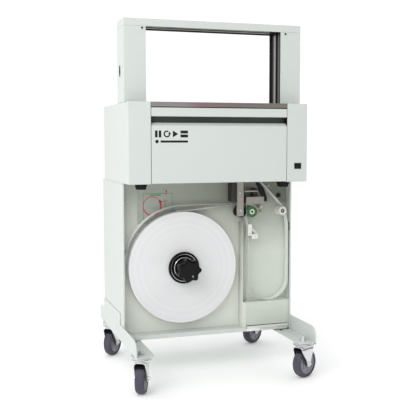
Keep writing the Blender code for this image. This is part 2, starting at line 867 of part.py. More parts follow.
def build_pool(looks):
    """Folded divider and shelf, the hinge rail and the clear cover that drops forward."""
    wall = 0.0012
    front = CABINET_FRONT + 0.003
    back = BAY_BACK - GAP
    right = WALL_INSIDE - GAP
    foot = FLOOR_TOP + GAP
    divider_top = 0.530
    pool = make(
        "pool_box",
        box((POOL_LEFT, front, foot), (POOL_LEFT + wall, back, divider_top)),
        looks["paint"],
    )
    carve(
        pool, "UNION",
        box((POOL_LEFT, front, foot), (right, front + wall, POOL_SHELF_Z)),
        box((POOL_LEFT, front, POOL_SHELF_Z - wall), (right, back, POOL_SHELF_Z)),
    )

    cover_left = 0.136
    cover_right = 0.298
    cover_bottom = 0.1575
    cover_top = 0.597
    cover_back = CABINET_FRONT - 0.001
    cover_front = cover_back - 0.003
    hinge_z = 0.1505
    hinge_y = CABINET_FRONT - 0.0055
    make(
        "pool_cover",
        box((cover_left, cover_front, cover_bottom), (cover_right, cover_back, cover_top)),
        looks["acrylic"],
        pivot=(0.0, hinge_y, hinge_z),
    )
    rail_radius = 0.0042
    rail_left = 0.138
    rail_right = 0.297
    rail = make(
        "hinge_rail",
        cylinder(rail_radius, rail_left, rail_right, (0.0, hinge_y, hinge_z), "X", 24),
        looks["chrome"],
    )
    leaf_top = hinge_z - rail_radius + 0.001
    carve(
        rail, "UNION",
        box(
            (rail_left, CABINET_FRONT - 0.003, leaf_top - 0.012),
            (rail_right, CABINET_FRONT + SHEET, leaf_top),
        ),
    )


# ---------------------------------------------------------------- feed unit

def build_feed(looks):
    """Rollers, brackets and motor that pull the band off the reel."""
    plate_front = CABINET_FRONT - 0.006
    plate_back = BAND_FRONT - 0.006
    plate_left = 0.100
    plate_right = 0.124
    plate_bottom = 0.552
    make(
        "feed_plate",
        box((plate_left, plate_front, plate_bottom), (plate_right, plate_back, HEAD_BOTTOM - GAP)),
        looks["steel"],
    )
    block_left = 0.083
    block_right = 0.130
    block_bottom = 0.604
    make(
        "guide_block",
        box(
            (block_left, plate_back + GAP, block_bottom),
            (block_right, BAY_BACK - GAP, HEAD_BOTTOM - GAP),
        ),
        looks["motor"],
    )

    wheel_axis = (DRIVE_X, 0.0, ROLLER_Z)
    shaft = 0.005
    shaft_end = BAY_BACK + 0.012
    roller_front = BAND_FRONT - 0.003
    roller_back = BAND_BACK + 0.001
    profile = [
        (0.0, roller_front),
        (DRIVE_RADIUS, roller_front),
        (DRIVE_RADIUS, roller_back),
        (shaft, roller_back),
        (shaft, shaft_end),
        (0.0, shaft_end),
    ]
    make("drive_wheel", turned(profile, wheel_axis, "Y", 40), looks["rubber"], pivot=wheel_axis)

    motor_front = shaft_end + GAP
    case = 0.031
    flange = 0.006
    flange_end = motor_front + 0.008
    motor_end = motor_front + 0.084
    profile = [
        (0.0, motor_front),
        (case + flange, motor_front),
        (case + flange, flange_end),
        (case, flange_end),
        (case, motor_end - flange),
        (case - flange, motor_end),
        (0.0, motor_end),
    ]
    make("feed_motor", turned(profile, wheel_axis, "Y", 40), looks["motor"])

    pinch_axis = (PINCH_X, 0.0, ROLLER_Z)
    arm_pivot = (0.1955, 0.0, 0.606)
    bar_left = 0.138
    bar_right = 0.206
    bar_top = 0.619
    bar_bottom = 0.594
    eye_radius = 0.009
    eye_sweep = (20, -200, 10)
    lug_front = BAND_BACK - 0.002
    lug_back = BAY_BACK - 0.001
    outline = [(bar_left, bar_bottom), (bar_left, bar_top)]
    outline += [(bar_right, bar_top), (bar_right, bar_bottom)]
    outline += arc((PINCH_X, ROLLER_Z), eye_radius, *eye_sweep)
    arm = make(
        "pinch_arm", prism(outline, "Y", lug_front, lug_back), looks["steel"],
        pivot=arm_pivot,
    )
    axle = 0.0042
    carve(
        arm, "UNION",
        box(
            (bar_left, BAND_FRONT - 0.004, bar_bottom),
            (bar_right, lug_front + PLATE, bar_top),
        ),
        cylinder(axle, BAND_FRONT - 0.006, lug_front + PLATE, pinch_axis, "Y", 20),
    )
    roller = tube(axle + GAP, PINCH_RADIUS, BAND_FRONT - 0.005, lug_front - GAP, pinch_axis, "Y", 40)
    make("pinch_roller", roller, looks["green"], pivot=pinch_axis)

    guide_axis = (GUIDE_X, 0.0, ROLLER_Z)
    rim = 0.0155
    rim_thick = 0.002
    hollow = 0.006
    slope = 0.001
    roller_front = BAND_FRONT - 0.004
    roller_back = BAY_BACK - 0.001
    profile = [
        (0.0, roller_front + rim_thick),
        (hollow, roller_front + rim_thick),
        (hollow, roller_front),
        (rim, roller_front),
        (rim, roller_front + rim_thick),
        (GUIDE_RADIUS, roller_front + rim_thick + slope),
        (GUIDE_RADIUS, roller_back - rim_thick - slope),
        (rim, roller_back - rim_thick),
        (rim, roller_back),
        (0.0, roller_back),
    ]
    make("guide_roller", turned(profile, guide_axis, "Y", 36), looks["white_plastic"], pivot=guide_axis)

    chute = [(0.1860, 0.6765), (0.2085, 0.6765), (0.2330, 0.6120), (0.2315, 0.5980), (0.2175, 0.6010)]
    chute_back = BAY_BACK - GAP
    make(
        "band_chute", prism(chute, "Y", BAND_BACK + 0.0008, chute_back), looks["black_plastic"],
    )

    lever_pivot = (0.1655, 0.0, 0.5010)
    lever = [
        (0.1600, 0.5040), (0.1680, 0.5070), (0.1830, 0.4880), (0.1820, 0.4700),
        (0.1600, 0.4700), (0.1600, 0.4755), (0.1745, 0.4770), (0.1745, 0.4850),
    ]
    make(
        "pool_lever", prism(lever, "Y", BAND_FRONT + 0.004, BAY_BACK - 0.002),
        looks["white_plastic"], pivot=lever_pivot,
    )


# ---------------------------------------------------------------- sealing unit

def build_sealing_unit(looks):
    """Frame, cam shaft and motor that hold, weld and cut the band under the deck."""
    cheek = 0.008
    half = 0.062
    bottom = 0.770
    top = TABLE_HEIGHT - 0.012
    front = ARCH_FRONT + 0.010
    back = ARCH_BACK - 0.010
    frame = make(
        "seal_frame",
        box((-half, front, bottom), (-half + cheek, back, top)),
        looks["motor"],
    )
    carve(
        frame, "UNION",
        box((half - cheek, front, bottom), (half, back, top)),
        box((-half, front, bottom), (half, back, bottom + cheek)),
    )
    shaft_z = 0.845
    shaft_y = (front + back) / 2
    cam_places = (-0.030, 0.0, 0.030)
    axis = (0.0, shaft_y, shaft_z)
    clear = 0.0005
    journal = 0.008
    reach = half + 0.012
    carve(frame, "DIFFERENCE", cylinder(journal + clear, -reach, reach, axis, "X", 24))
    cam = 0.024
    thick = 0.010
    profile = [(0.0, -reach), (journal, -reach)]
    for place in cam_places:
        profile += [
            (journal, place - thick / 2),
            (cam, place - thick / 2),
            (cam, place + thick / 2),
            (journal, place + thick / 2),
        ]
    profile += [(journal, reach), (0.0, reach)]
    make("cam_shaft", turned(profile, axis, "X", 28), looks["zinc"], pivot=axis)

    case = 0.040
    flange = 0.005
    chamfer = 0.006
    motor_end = -reach - GAP
    flange_end = motor_end - 0.010
    far_end = motor_end - 0.110
    profile = [
        (0.0, far_end),
        (case - chamfer, far_end),
        (case, far_end + chamfer),
        (case, flange_end),
        (case + flange, flange_end),
        (case + flange, motor_end),
        (0.0, motor_end),
    ]
    make("seal_motor", turned(profile, axis, "X", 36), looks["motor"])

    box_low = (-0.150, 0.060, 0.200)
    box_high = (0.090, 0.190, 0.420)
    make("electrical_box", box(box_low, box_high), looks["zinc"])


def build():
    """Clear the scene and build the machine."""
    for old in list(bpy.data.objects):
        bpy.data.objects.remove(old)
    looks = make_looks()
    build_feet(looks)
    build_casters(looks)
    build_cabinet(looks)
    build_head(looks)
    build_arch(looks)
    build_reel(looks)
    build_band(looks)
    build_pool(looks)
    build_feed(looks)
    build_sealing_unit(looks)
    for made in bpy.context.scene.collection.objects:
        if made.parent is None:
            made.location.x += MIDDLE_X


build()
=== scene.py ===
import math
import random

import bmesh
import bpy
from mathutils import Matrix, Vector


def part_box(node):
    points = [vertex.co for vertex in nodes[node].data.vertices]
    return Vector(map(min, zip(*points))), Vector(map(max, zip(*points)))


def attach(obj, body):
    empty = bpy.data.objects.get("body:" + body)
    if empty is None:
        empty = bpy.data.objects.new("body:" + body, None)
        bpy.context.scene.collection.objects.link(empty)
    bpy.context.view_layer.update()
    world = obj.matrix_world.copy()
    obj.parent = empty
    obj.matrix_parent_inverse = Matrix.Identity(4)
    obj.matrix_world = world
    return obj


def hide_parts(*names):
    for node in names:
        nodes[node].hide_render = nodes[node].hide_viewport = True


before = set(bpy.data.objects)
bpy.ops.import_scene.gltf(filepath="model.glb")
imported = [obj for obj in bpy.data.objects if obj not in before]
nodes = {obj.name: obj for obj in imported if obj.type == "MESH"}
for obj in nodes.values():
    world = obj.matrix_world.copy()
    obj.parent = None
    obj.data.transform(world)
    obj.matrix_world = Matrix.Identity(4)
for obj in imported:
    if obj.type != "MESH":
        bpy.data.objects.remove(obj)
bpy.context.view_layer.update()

middle = -0.0099    # the machine's own middle, left of its footprint's centre


# ---------------------------------------------------------------- camera and studio
# The machine stands on a pale floor in a white room that is dimmer to its right, with
# one broad lamp high on its left. The camera is at the operator's left, a step back.

class Value:
    """A number in a node tree. Python arithmetic on it adds Math nodes."""

    def __init__(self, tree, socket):
        self.tree = tree
        self.socket = socket

    def math(self, operation, other=0.0, swapped=False):
        node = self.tree.nodes.new("ShaderNodeMath")
        node.operation = operation
        pair = (other, self) if swapped else (self, other)
        for socket, given in zip(node.inputs, pair):
            wire(self.tree, socket, given)
        return Value(self.tree, node.outputs[0])

    def __add__(self, other):
        return self.math("ADD", other)

    def __radd__(self, other):
        return self.math("ADD", other, True)

    def __sub__(self, other):
        return self.math("SUBTRACT", other)

    def __rsub__(self, other):
        return self.math("SUBTRACT", other, True)

    def __mul__(self, other):
        return self.math("MULTIPLY", other)

    def __rmul__(self, other):
        return self.math("MULTIPLY", other, True)

    def held(self):
        """The number kept between 0 and 1."""
        return self.math("MAXIMUM", 0.0).math("MINIMUM", 1.0)


def wire(tree, socket, given):
    """Link a Value to a socket, or set the socket to a plain number or tuple."""
    if isinstance(given, Value):
        tree.links.new(given.socket, socket)
    else:
        socket.default_value = given


class Graph:
    """A node tree that is built one node at a time."""

    def __init__(self, tree):
        self.tree = tree

    def add(self, kind, settings, sockets, output=0):
        """One node: its type, its settings, what its sockets hold, and the output wanted."""
        node = self.tree.nodes.new("ShaderNode" + kind)
        stops = settings.pop("stops", None)
        for name, value in settings.items():
            setattr(node, name, value)
        if stops:
            ramp = node.color_ramp.elements
            for element, (place, colour) in zip(ramp, (stops[0], stops[-1])):
                element.position = place
                element.color = (*colour, 1.0)
            for place, colour in stops[1:-1]:
                ramp.new(place).color = (*colour, 1.0)
        for name, value in sockets.items():
            wire(self.tree, node.inputs[name], value)
        return Value(self.tree, node.outputs[output])

    def axis(self, vector, letter):
        """One coordinate of a vector."""
        return self.add("SeparateXYZ", {}, {0: vector}, letter)


class Finish(Graph):
    """A surface finish on one Principled shader, with patterns on Object coordinates."""

    def __init__(self, name, constants):
        self.material = bpy.data.materials.new(name)
        self.material.use_nodes = True
        super().__init__(self.material.node_tree)
        self.shader = self.tree.nodes["Principled BSDF"]
        for socket, value in constants.items():
            self.shader.inputs[socket].default_value = value
        self.place = self.add("TexCoord", {}, {}, "Object")

    def mottle(self, scale, detail=3.0, stretch=(1.0, 1.0, 1.0)):
        """Cloudy noise with so many features a metre, which may be drawn out."""
        place = self.add("Mapping", {}, {"Vector": self.place, "Scale": stretch})
        return self.add("TexNoise", {}, {"Vector": place, "Scale": scale, "Detail": detail})

    def between(self, mask, first, second):
        """A colour that goes from the first to the second with the mask."""
        first, second = (
            c if isinstance(c, Value) else (*c, 1.0) for c in (first, second)
        )
        return self.add("Mix", {"data_type": "RGBA"}, {0: mask, 6: first, 7: second}, 2)

    def feed(self, socket, value):
        wire(self.tree, self.shader.inputs[socket], value)

    def relief(self, height, depth):
        """Raise the surface by the height pattern, so many metres deep."""
        self.feed("Normal", self.add("Bump", {}, {"Height": height, "Distance": depth}))


scene = bpy.context.scene
scene.view_settings.view_transform = "Standard"

camera_data = bpy.data.cameras.new("camera")
camera_data.sensor_width = 36.0
camera_data.lens = 68.264
camera_data.shift_x = 0.01253
camera_data.shift_y = 0.01073
camera_data.clip_end = 100.0
camera = bpy.data.objects.new("camera", camera_data)
scene.collection.objects.link(camera)
scene.camera = camera
heading = math.radians(17.6874)
dip = math.radians(4.6635)
lean = math.radians(-0.104)
ahead = Vector((
    math.sin(heading) * math.cos(dip), math.cos(heading) * math.cos(dip), -math.sin(dip),
))
level = Vector((math.cos(heading), -math.sin(heading), 0.0))
upward = level.cross(ahead)
camera_right = level * math.cos(lean) + upward * math.sin(lean)
camera_up = upward * math.cos(lean) - level * math.sin(lean)
camera_turn = Matrix((camera_right, camera_up, -ahead)).transposed()
camera_place = (-0.8614, -2.59792, 0.81254)
camera.matrix_world = Matrix.Translation(camera_place) @ camera_turn.to_4x4()

room = bpy.data.worlds.new("room")
room.use_nodes = True
scene.world = room
sky = Graph(room.node_tree)
direction = sky.add("TexCoord", {}, {}, "Generated")
operator_side = ((0.25 - sky.axis(direction, "Y")) * 2.5).held()
height = sky.axis(direction, "Z")
ceiling = ((height - 0.12) * 2.2).held() - 0.75 * ((height - 0.75) * 4.0).held()
dimming = 0.90 - 0.98 * ceiling + 0.36 * sky.axis(direction, "X")
backdrop = room.node_tree.nodes["Background"]
backdrop.inputs["Color"].default_value = (1.0, 1.0, 1.0, 1.0)
seen = sky.add("LightPath", {}, {}, "Is Camera Ray")
room_light = 1.06 - operator_side * dimming * (1.0 - seen)
wire(room.node_tree, backdrop.inputs["Strength"], room_light)

floor_finish = Finish("studio floor", {
    "Roughness": 0.9, "Specular IOR Level": 0.1, "Emission Strength": 0.11,
})
floor_shade = floor_finish.between(
    floor_finish.mottle(3.0), (0.97, 0.975, 0.97), (0.985, 0.99, 0.985),
)
floor_finish.feed("Base Color", floor_shade)
floor_finish.feed("Emission Color", floor_shade)
floor_mesh = bpy.data.meshes.new("floor")
reach = 40.0
floor_mesh.from_pydata(
    [(-reach, -reach, 0.0), (reach, -reach, 0.0), (reach, reach, 0.0), (-reach, reach, 0.0)],
    [], [(0, 1, 2, 3)],
)
floor_mesh.materials.append(floor_finish.material)
floor = bpy.data.objects.new("floor", floor_mesh)
scene.collection.objects.link(floor)

lamp_data = bpy.data.lights.new("lamp", "AREA")
lamp_data.shape = "RECTANGLE"
lamp_data.size = 2.4
lamp_data.size_y = 1.8
lamp_data.energy = 38.0
lamp = bpy.data.objects.new("lamp", lamp_data)
scene.collection.objects.link(lamp)
lamp.location = (-2.0, -2.1, 2.0)
lamp_aim = Vector((0.0, 0.0, 0.6)) - lamp.location
lamp.rotation_euler = lamp_aim.to_track_quat("-Z", "Y").to_euler()


# ---------------------------------------------------------------- powder-coated sheet metal
# Feet, cabinet, head covers and arch are folded 1.5 to 3 mm steel sheet in one pale
# grey-green powder coat. Folds are rounded and cut edges are broken, as sheet comes.

paint = Finish("powder coat", {"Specular IOR Level": 0.45})
clouds = paint.mottle(2.2, 2.0)
peel = paint.mottle(900.0, 1.0)
paint.feed("Base Color", paint.between(
    clouds * 0.7 + peel * 0.3, (0.580, 0.622, 0.596), (0.630, 0.664, 0.640),
))
paint.feed("Roughness", 0.34 + 0.16 * paint.mottle(14.0, 4.0))
paint.relief(peel + 0.4 * paint.mottle(260.0, 2.0), 0.00006)

inner_paint = Finish("powder coat inside", {"Specular IOR Level": 0.4})
height_up = inner_paint.axis(inner_paint.place, "Z")
across = inner_paint.axis(inner_paint.place, "X")
# Painted shade: the inside coat darkens towards the top, under the overhanging head, and towards
# the right, with a little random mottle mixed in.
painted_shade_under_head = ((height_up - 0.42) * 4.6).held() * (0.72 + 0.9 * across).held()
painted_shade_and_mottle = (0.72 * painted_shade_under_head + 0.28 * inner_paint.mottle(5.0, 5.0)).held()
inner_paint.feed("Base Color", inner_paint.between(
    painted_shade_and_mottle, (0.80, 0.83, 0.765), (0.120, 0.140, 0.095),
))
inner_paint.feed("Roughness", 0.36 + 0.2 * inner_paint.mottle(20.0, 4.0))
inner_paint.relief(inner_paint.mottle(800.0, 1.0), 0.00006)


def piece(name, shape, body, finish, replaces=(), crisp=40.0):
    """Turn a shape into the named piece, give it its finish and let it ride on a body."""
    mesh = bpy.data.meshes.new(name)
    shape.to_mesh(mesh)
    shape.free()
    mesh.transform(Matrix.Translation((middle, 0.0, 0.0)))
    for one in finish if isinstance(finish, (list, tuple)) else [finish]:
        mesh.materials.append(one.material)
    mesh.shade_smooth()
    mesh.set_sharp_from_angle(angle=math.radians(crisp))
    made = bpy.data.objects.new(name, mesh)
    scene.collection.objects.link(made)
    weighted = made.modifiers.new("even faces", "WEIGHTED_NORMAL")
    weighted.keep_sharp = True
    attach(made, body)
    if replaces:
        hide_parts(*replaces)
    return made


def ease(shape, radius, segments=2, edges=None):
    """Round the outward edges that are sharper than 30 degrees."""
    if edges is None:
        edges = [
            edge for edge in shape.edges
            if len(edge.link_faces) == 2 and edge.calc_face_angle() > math.radians(30)
        ]
    bmesh.ops.bevel(
        shape, geom=edges, offset=radius, offset_type="OFFSET", segments=segments,
        profile=0.5, affect="EDGES", clamp_overlap=True,
    )


def copied(node):
    """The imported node's own shape, with its triangles joined into clean faces."""
    shape = bmesh.new()
    shape.from_mesh(nodes[node].data)
    shape.transform(nodes[node].matrix_world)
    bmesh.ops.translate(shape, verts=shape.verts, vec=(-middle, 0.0, 0.0))
    bmesh.ops.remove_doubles(shape, verts=shape.verts, dist=0.000002)
    bmesh.ops.dissolve_limit(
        shape, angle_limit=math.radians(0.5), verts=shape.verts, edges=shape.edges,
    )
    return shape


def is_broad(face, least=0.004):
    """True for a face that isn't just the cut edge of a sheet."""
    return 2.0 * face.calc_area() / face.calc_perimeter() > least


def folded(node, finish, body="frame", fold=0.0018, cut=0.0004):
    """A sheet part with its folds rounded and its cut edges broken."""
    shape = copied(node)
    folds = [
        edge for edge in shape.edges
        if len(edge.link_faces) == 2 and edge.is_convex
        and edge.calc_face_angle() > math.radians(40)
        and all(is_broad(face) for face in edge.link_faces)
    ]
    if folds:
        ease(shape, fold, 3, folds)
    cuts = [
        edge for edge in shape.edges
        if len(edge.link_faces) == 2 and edge.is_convex
        and edge.calc_face_angle() > math.radians(50)
    ]
    if cuts:
        ease(shape, cut, 1, cuts)
    return piece(f"{node}_sheet", shape, body, finish, [node])


for node in ("cabinet_wall_left", "cabinet_wall_right", "cabinet_floor", "cabinet_rear_cover"):
    folded(node, paint)
for node in ("mounting_plate", "pool_box", "head_tray"):
    folded(node, inner_paint)
for node in (
    "side_cover_left", "side_cover_right", "upper_fascia", "head_rear_cover",
    "column_left", "column_right", "arch_beam",
):
    folded(node, paint)
folded("front_panel", paint, body="front_panel")


# ---------------------------------------------------------------- screws
# Button-head screws with a hexagon socket, zinc plated on the cabinet and feet and
# blackened on the arch. One head is turned once and set at every screw's place.

def clouded(name, shine, clouds, tones, gloss, grain=None, metal=0.0):
    """A finish that varies in clouds. clouds holds the noise of the two tones. gloss is the
    least roughness, its spread and its noise, and grain is a depth and its noise."""
    made = Finish(name, {"Specular IOR Level": shine, "Metallic": metal})
    made.feed("Base Color", made.between(made.mottle(*clouds), *tones))
    least, spread, *patches = gloss
    made.feed("Roughness", least + spread * made.mottle(*patches))
    if grain:
        depth, *bumps = grain
        made.relief(made.mottle(*bumps), depth)
    return made


zinc = clouded(
    "bright zinc", 0.5, (120.0, 4.0), ((0.66, 0.67, 0.69), (0.80, 0.81, 0.83)),
    (0.20, 0.22, 60.0, 5.0), (0.00003, 500.0, 2.0), metal=1.0,
)
black_oxide = clouded(
    "black oxide", 0.5, (400.0,), ((0.02, 0.02, 0.022), (0.06, 0.06, 0.065)),
    (0.32, 0.2, 90.0), metal=0.7,
)


def aimed(centre, out):
    """A place at the centre whose own Z points outwards."""
    turn = Vector(out).to_track_quat("Z", "Y").to_matrix().to_4x4()
    return Matrix.Translation(centre) @ turn


def lathe(shape, profile, place, segments=48, closed=False, lobes=0, depth=0.0, look=0):
    """Spin (radius, height) points round the place's own Z. Lobes wave the radius."""
    rings = []
    for radius, height in profile:
        if radius == 0.0:
            rings.append([shape.verts.new(place @ Vector((0.0, 0.0, height)))])
            continue
        ring = []
        for step in range(segments):
            angle = math.tau * step / segments
            wave = radius * (1.0 + depth * math.cos(lobes * angle))
            spot = Vector((wave * math.cos(angle), wave * math.sin(angle), height))
            ring.append(shape.verts.new(place @ spot))
        rings.append(ring)
    pairs = list(zip(rings, rings[1:]))
    if closed:
        pairs.append((rings[-1], rings[0]))
    faces = []
    for low, high in pairs:
        for step in range(segments):
            after = step + 1
            corners = [
                low[step % len(low)], low[after % len(low)],
                high[after % len(high)], high[step % len(high)],
            ]
            faces.append(shape.faces.new(list(dict.fromkeys(corners))))
            faces[-1].material_index = look
    bmesh.ops.recalc_face_normals(shape, faces=faces)


def grown(name, mesh, tree, values):
    """Run a geometry tree on a mesh and keep the plain mesh that it makes."""
    made = bpy.data.objects.new(name, mesh)
    scene.collection.objects.link(made)
    step = made.modifiers.new("grow", "NODES")
    step.node_group = tree
    for item in tree.interface.items_tree:
        if item.item_type == "SOCKET" and item.in_out == "INPUT" and item.name in values:
            step[item.identifier] = values[item.name]
    bpy.context.view_layer.update()
    graph = bpy.context.evaluated_depsgraph_get()
    plain = bpy.data.meshes.new_from_object(made.evaluated_get(graph))
    made.modifiers.remove(step)
    made.data = plain
    return made


def geometry_tree(name, inputs):
    """An empty geometry tree with named inputs, and a way to add and link its nodes."""
    tree = bpy.data.node_groups.new(name, "GeometryNodeTree")
    for label, kind in inputs:
        tree.interface.new_socket(label, in_out="INPUT", socket_type="NodeSocket" + kind)
    tree.interface.new_socket("Made", in_out="OUTPUT", socket_type="NodeSocketGeometry")

    def add(kind, settings, sockets):
        node = tree.nodes.new(kind)
        for key, value in settings.items():
            setattr(node, key, value)
        for key, value in sockets.items():
            if isinstance(value, bpy.types.NodeSocket):
                tree.links.new(value, node.inputs[key])
            else:
                node.inputs[key].default_value = value
        return node.outputs

    return tree, add


def close_tree(add, given, shape):
    """End a tree in real geometry that wears its finish."""
    real = add("GeometryNodeRealizeInstances", {}, {"Geometry": shape})
    dressed = add("GeometryNodeSetMaterial", {}, {
        "Geometry": real[0], "Material": given["Finish"],
    })
    add("NodeGroupOutput", {}, {"Made": dressed[0]})


screw_tree, add = geometry_tree("set screws", [
    ("Spots", "Geometry"), ("Head", "Object"), ("Radius", "Float"), ("Finish", "Material"),
])
given = add("NodeGroupInput", {}, {})
head = add("GeometryNodeObjectInfo", {}, {"Object": given["Head"], "As Instance": True})
facing = add(
    "GeometryNodeInputNamedAttribute", {"data_type": "FLOAT_VECTOR"}, {"Name": "facing"},
)
turn = add("FunctionNodeAlignRotationToVector", {"axis": "Z"}, {"Vector": facing[0]})
placed = add("GeometryNodeInstanceOnPoints", {}, {
    "Points": given["Spots"], "Instance": head["Geometry"],
    "Rotation": turn[0], "Scale": given["Radius"],
})
chance = add("FunctionNodeRandomValue", {"data_type": "FLOAT"}, {3: math.tau, "Seed": 5})
spin = add("ShaderNodeCombineXYZ", {}, {"Z": chance[1]})
spun = add("GeometryNodeRotateInstances", {}, {
    "Instances": placed[0], "Rotation": spin[0], "Local Space": True,
})
close_tree(add, given, spun[0])

head_shape = bmesh.new()
lathe(head_shape, [
    (0.0, -0.05), (1.0, -0.05), (1.0, 0.12), (0.94, 0.30), (0.78, 0.47), (0.60, 0.55),
    (0.46, 0.56), (0.42, 0.50), (0.42, 0.22), (0.0, 0.14),
], Matrix.Identity(4), 18)
head_mesh = bpy.data.meshes.new("screw head")
head_shape.to_mesh(head_mesh)
head_shape.free()
head_mesh.shade_smooth()
head_mesh.set_sharp_from_angle(angle=math.radians(40))
screw_head = bpy.data.objects.new("screw_head", head_mesh)
scene.collection.objects.link(screw_head)


def screws(name, body, spots, radius, finish):
    """Set a screw head at every (place, outward direction)."""
    mesh = bpy.data.meshes.new(name)
    mesh.from_pydata([place for place, out in spots], [], [])
    facing = mesh.attributes.new("facing", "FLOAT_VECTOR", "POINT")
    for item, (place, out) in zip(facing.data, spots):
        item.vector = out
    made = grown(name, mesh, screw_tree, {
        "Head": screw_head, "Radius": radius, "Finish": finish.material,
    })
    made.data.transform(Matrix.Translation((middle, 0.0, 0.0)))
    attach(made, body)
    return made


OUT_FRONT = (0.0, -1.0, 0.0)
OUT_BACK = (0.0, 1.0, 0.0)
OUT_LEFT = (-1.0, 0.0, 0.0)
OUT_RIGHT = (1.0, 0.0, 0.0)
arch_low, arch_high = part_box("arch_beam")
screws("arch_screws", "frame", [
    ((across, along, 1.1858), out)
    for across in (-0.252, 0.258)
    for along, out in ((arch_low.y, OUT_FRONT), (arch_high.y, OUT_BACK))
], 0.0036, black_oxide)

screws("foot_screws", "frame", [
    ((side * 0.3148, along, height), (side, 0.0, 0.0))
    for side in (-1, 1) for along in (0.0035, 0.212) for height in (0.163, 0.208)
], 0.0045, zinc)

rear_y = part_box("cabinet_rear_cover")[1].y
head_rear_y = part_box("head_rear_cover")[1].y
rear_spots = [
    ((side * 0.287, rear_y, height), OUT_BACK)
    for side in (-1, 1) for height in (0.175, 0.335, 0.495, 0.655)
]
rear_spots += [((across, rear_y, 0.165), OUT_BACK) for across in (-0.10, 0.10)]
rear_spots += [
    ((side * 0.226, head_rear_y, height), OUT_BACK)
    for side in (-1, 1) for height in (0.695, 0.910)
]
screws("rear_cover_screws", "frame", rear_spots, 0.0038, zinc)


# ---------------------------------------------------------------- feet
# Each foot is 3 mm plate: an upright bolted to the cabinet and a sole with rounded
# ends over the casters. A nut and washer on the sole hold each caster's stem.

for node in ("foot_left", "foot_right"):
    folded(node, paint, fold=0.0008, cut=0.0005)


def push(shape, outline, place, depth, look=0):
    """Push a flat outline in the place's own XY plane along its Z."""
    low = [shape.verts.new(place @ Vector((a, b, 0.0))) for a, b in outline]
    high = [shape.verts.new(place @ Vector((a, b, depth))) for a, b in outline]
    faces = [shape.faces.new(low), shape.faces.new(high)]
    for index in range(len(outline)):
        after = (index + 1) % len(outline)
        faces.append(shape.faces.new((low[index], low[after], high[after], high[index])))
    for face in faces:
        face.material_index = look
    bmesh.ops.recalc_face_normals(shape, faces=faces)


def oblong(left, low, right, high):
    """The corners of a rectangle."""
    return [(left, low), (right, low), (right, high), (left, high)]


def slab(shape, low, high, look=0):
    """A rectangular block between two corners."""
    floor_place = Matrix.Translation((0.0, 0.0, low[2]))
    push(shape, oblong(*low[:2], *high[:2]), floor_place, high[2] - low[2], look)


def arc(centre, radius, start, end, steps):
    """Points on an arc between two angles in degrees."""
    sweep = [math.radians(start + (end - start) * step / steps) for step in range(steps + 1)]
    return [(centre[0] + radius * math.cos(a), centre[1] + radius * math.sin(a)) for a in sweep]


def hex_nut(shape, place, radius, height, bore):
    """A chamfered nut on its washer, with the end of the stud showing."""
    washer = radius * 1.28
    thick = 0.0016
    lathe(shape, [(bore, 0.0), (washer, 0.0), (washer, thick), (bore, thick)], place, 28, True)
    start = len(shape.edges)
    hexagon = arc((0.0, 0.0), radius, 0, 300, 5)
    push(shape, hexagon, place @ Matrix.Translation((0.0, 0.0, thick)), height)
    shape.edges.ensure_lookup_table()
    ease(shape, 0.0007, 2, shape.edges[start:])
    lathe(shape, [
        (0.0, height), (bore, height), (bore, height + 0.0036), (bore * 0.86, height + 0.0046),
        (0.0, height + 0.0046),
    ], place, 20)


corners = {
    "front_left": (-0.288, -0.256, 24.0),
    "front_right": (0.288, -0.256, 63.0),
    "rear_left": (-0.288, 0.222, 38.0),
    "rear_right": (0.288, 0.222, 57.0),
}
sole_top = 0.1311
OUT_TOP = (0.0, 0.0, 1.0)
stem_nuts = bmesh.new()
for across, along, swivel in corners.values():
    stem = aimed((across, along, sole_top), OUT_TOP) @ Matrix.Rotation(0.35, 4, "Z")
    hex_nut(stem_nuts, stem, 0.0105, 0.0085, 0.0058)
piece("caster_stem_nuts", stem_nuts, "frame", zinc)

screws("sole_screws", "frame", [
    ((side * 0.2718, -0.107, sole_top), OUT_TOP) for side in (-1, 1)
], 0.0042, black_oxide)


# ---------------------------------------------------------------- casters
# Swivel casters with 100 mm wheels: a pressed zinc-plated fork under a ball-race crown,
# a black guard inside it, partly a moulded lining and partly painted shade under the fork,
# and a grey rubber tyre on a paler moulded core.

tyre = clouded(
    "grey tyre", 0.2, (45.0, 6.0),
    ((0.052, 0.049, 0.066), (0.104, 0.099, 0.128)), (0.46, 0.22, 22.0), (0.00008, 700.0),
)
wheel_core = clouded(
    "grey wheel core", 0.5, (30.0, 5.0),
    ((0.19, 0.19, 0.215), (0.32, 0.32, 0.355)), (0.34, 0.16, 50.0), (0.00004, 900.0, 2.0),
)
black_moulding = clouded(
    "black moulding", 0.22, (200.0,),
    ((0.006, 0.006, 0.007), (0.014, 0.014, 0.016)), (0.14, 0.16, 35.0, 4.0),
    (0.00002, 1100.0, 2.0),
)
dull_black = clouded(
    "dull black rubber", 0.08, (150.0, 4.0),
    ((0.010, 0.010, 0.011), (0.024, 0.024, 0.026)), (0.62, 0.2, 60.0), (0.0001, 600.0),
)


def with_wall(made, thickness, bevel):
    """Give a sheet-like piece its thickness and round its edges."""
    wall = made.modifiers.new("wall", "SOLIDIFY")
    wall.thickness = thickness
    wall.offset = 0.0
    rounding = made.modifiers.new("edges", "BEVEL")
    rounding.width = bevel
    rounding.segments = 2
    rounding.limit_method = "ANGLE"
    made.modifiers.move(0, 2)


def smooth_step(share):
    """A share of the way, eased in and out."""
    share = min(1.0, max(0.0, share))
    return share * share * (3.0 - 2.0 * share)


wheel_radius = 0.050
hub = 0.006             # how far the axle trails the swivel post


def post_at(corner):
    """The swivel post's place, turned as the caster stands."""
    across, along, swivel = corners[corner]
    turn = Matrix.Rotation(-math.radians(swivel), 4, "Z")
    return Matrix.Translation((across, along, 0.0)) @ turn


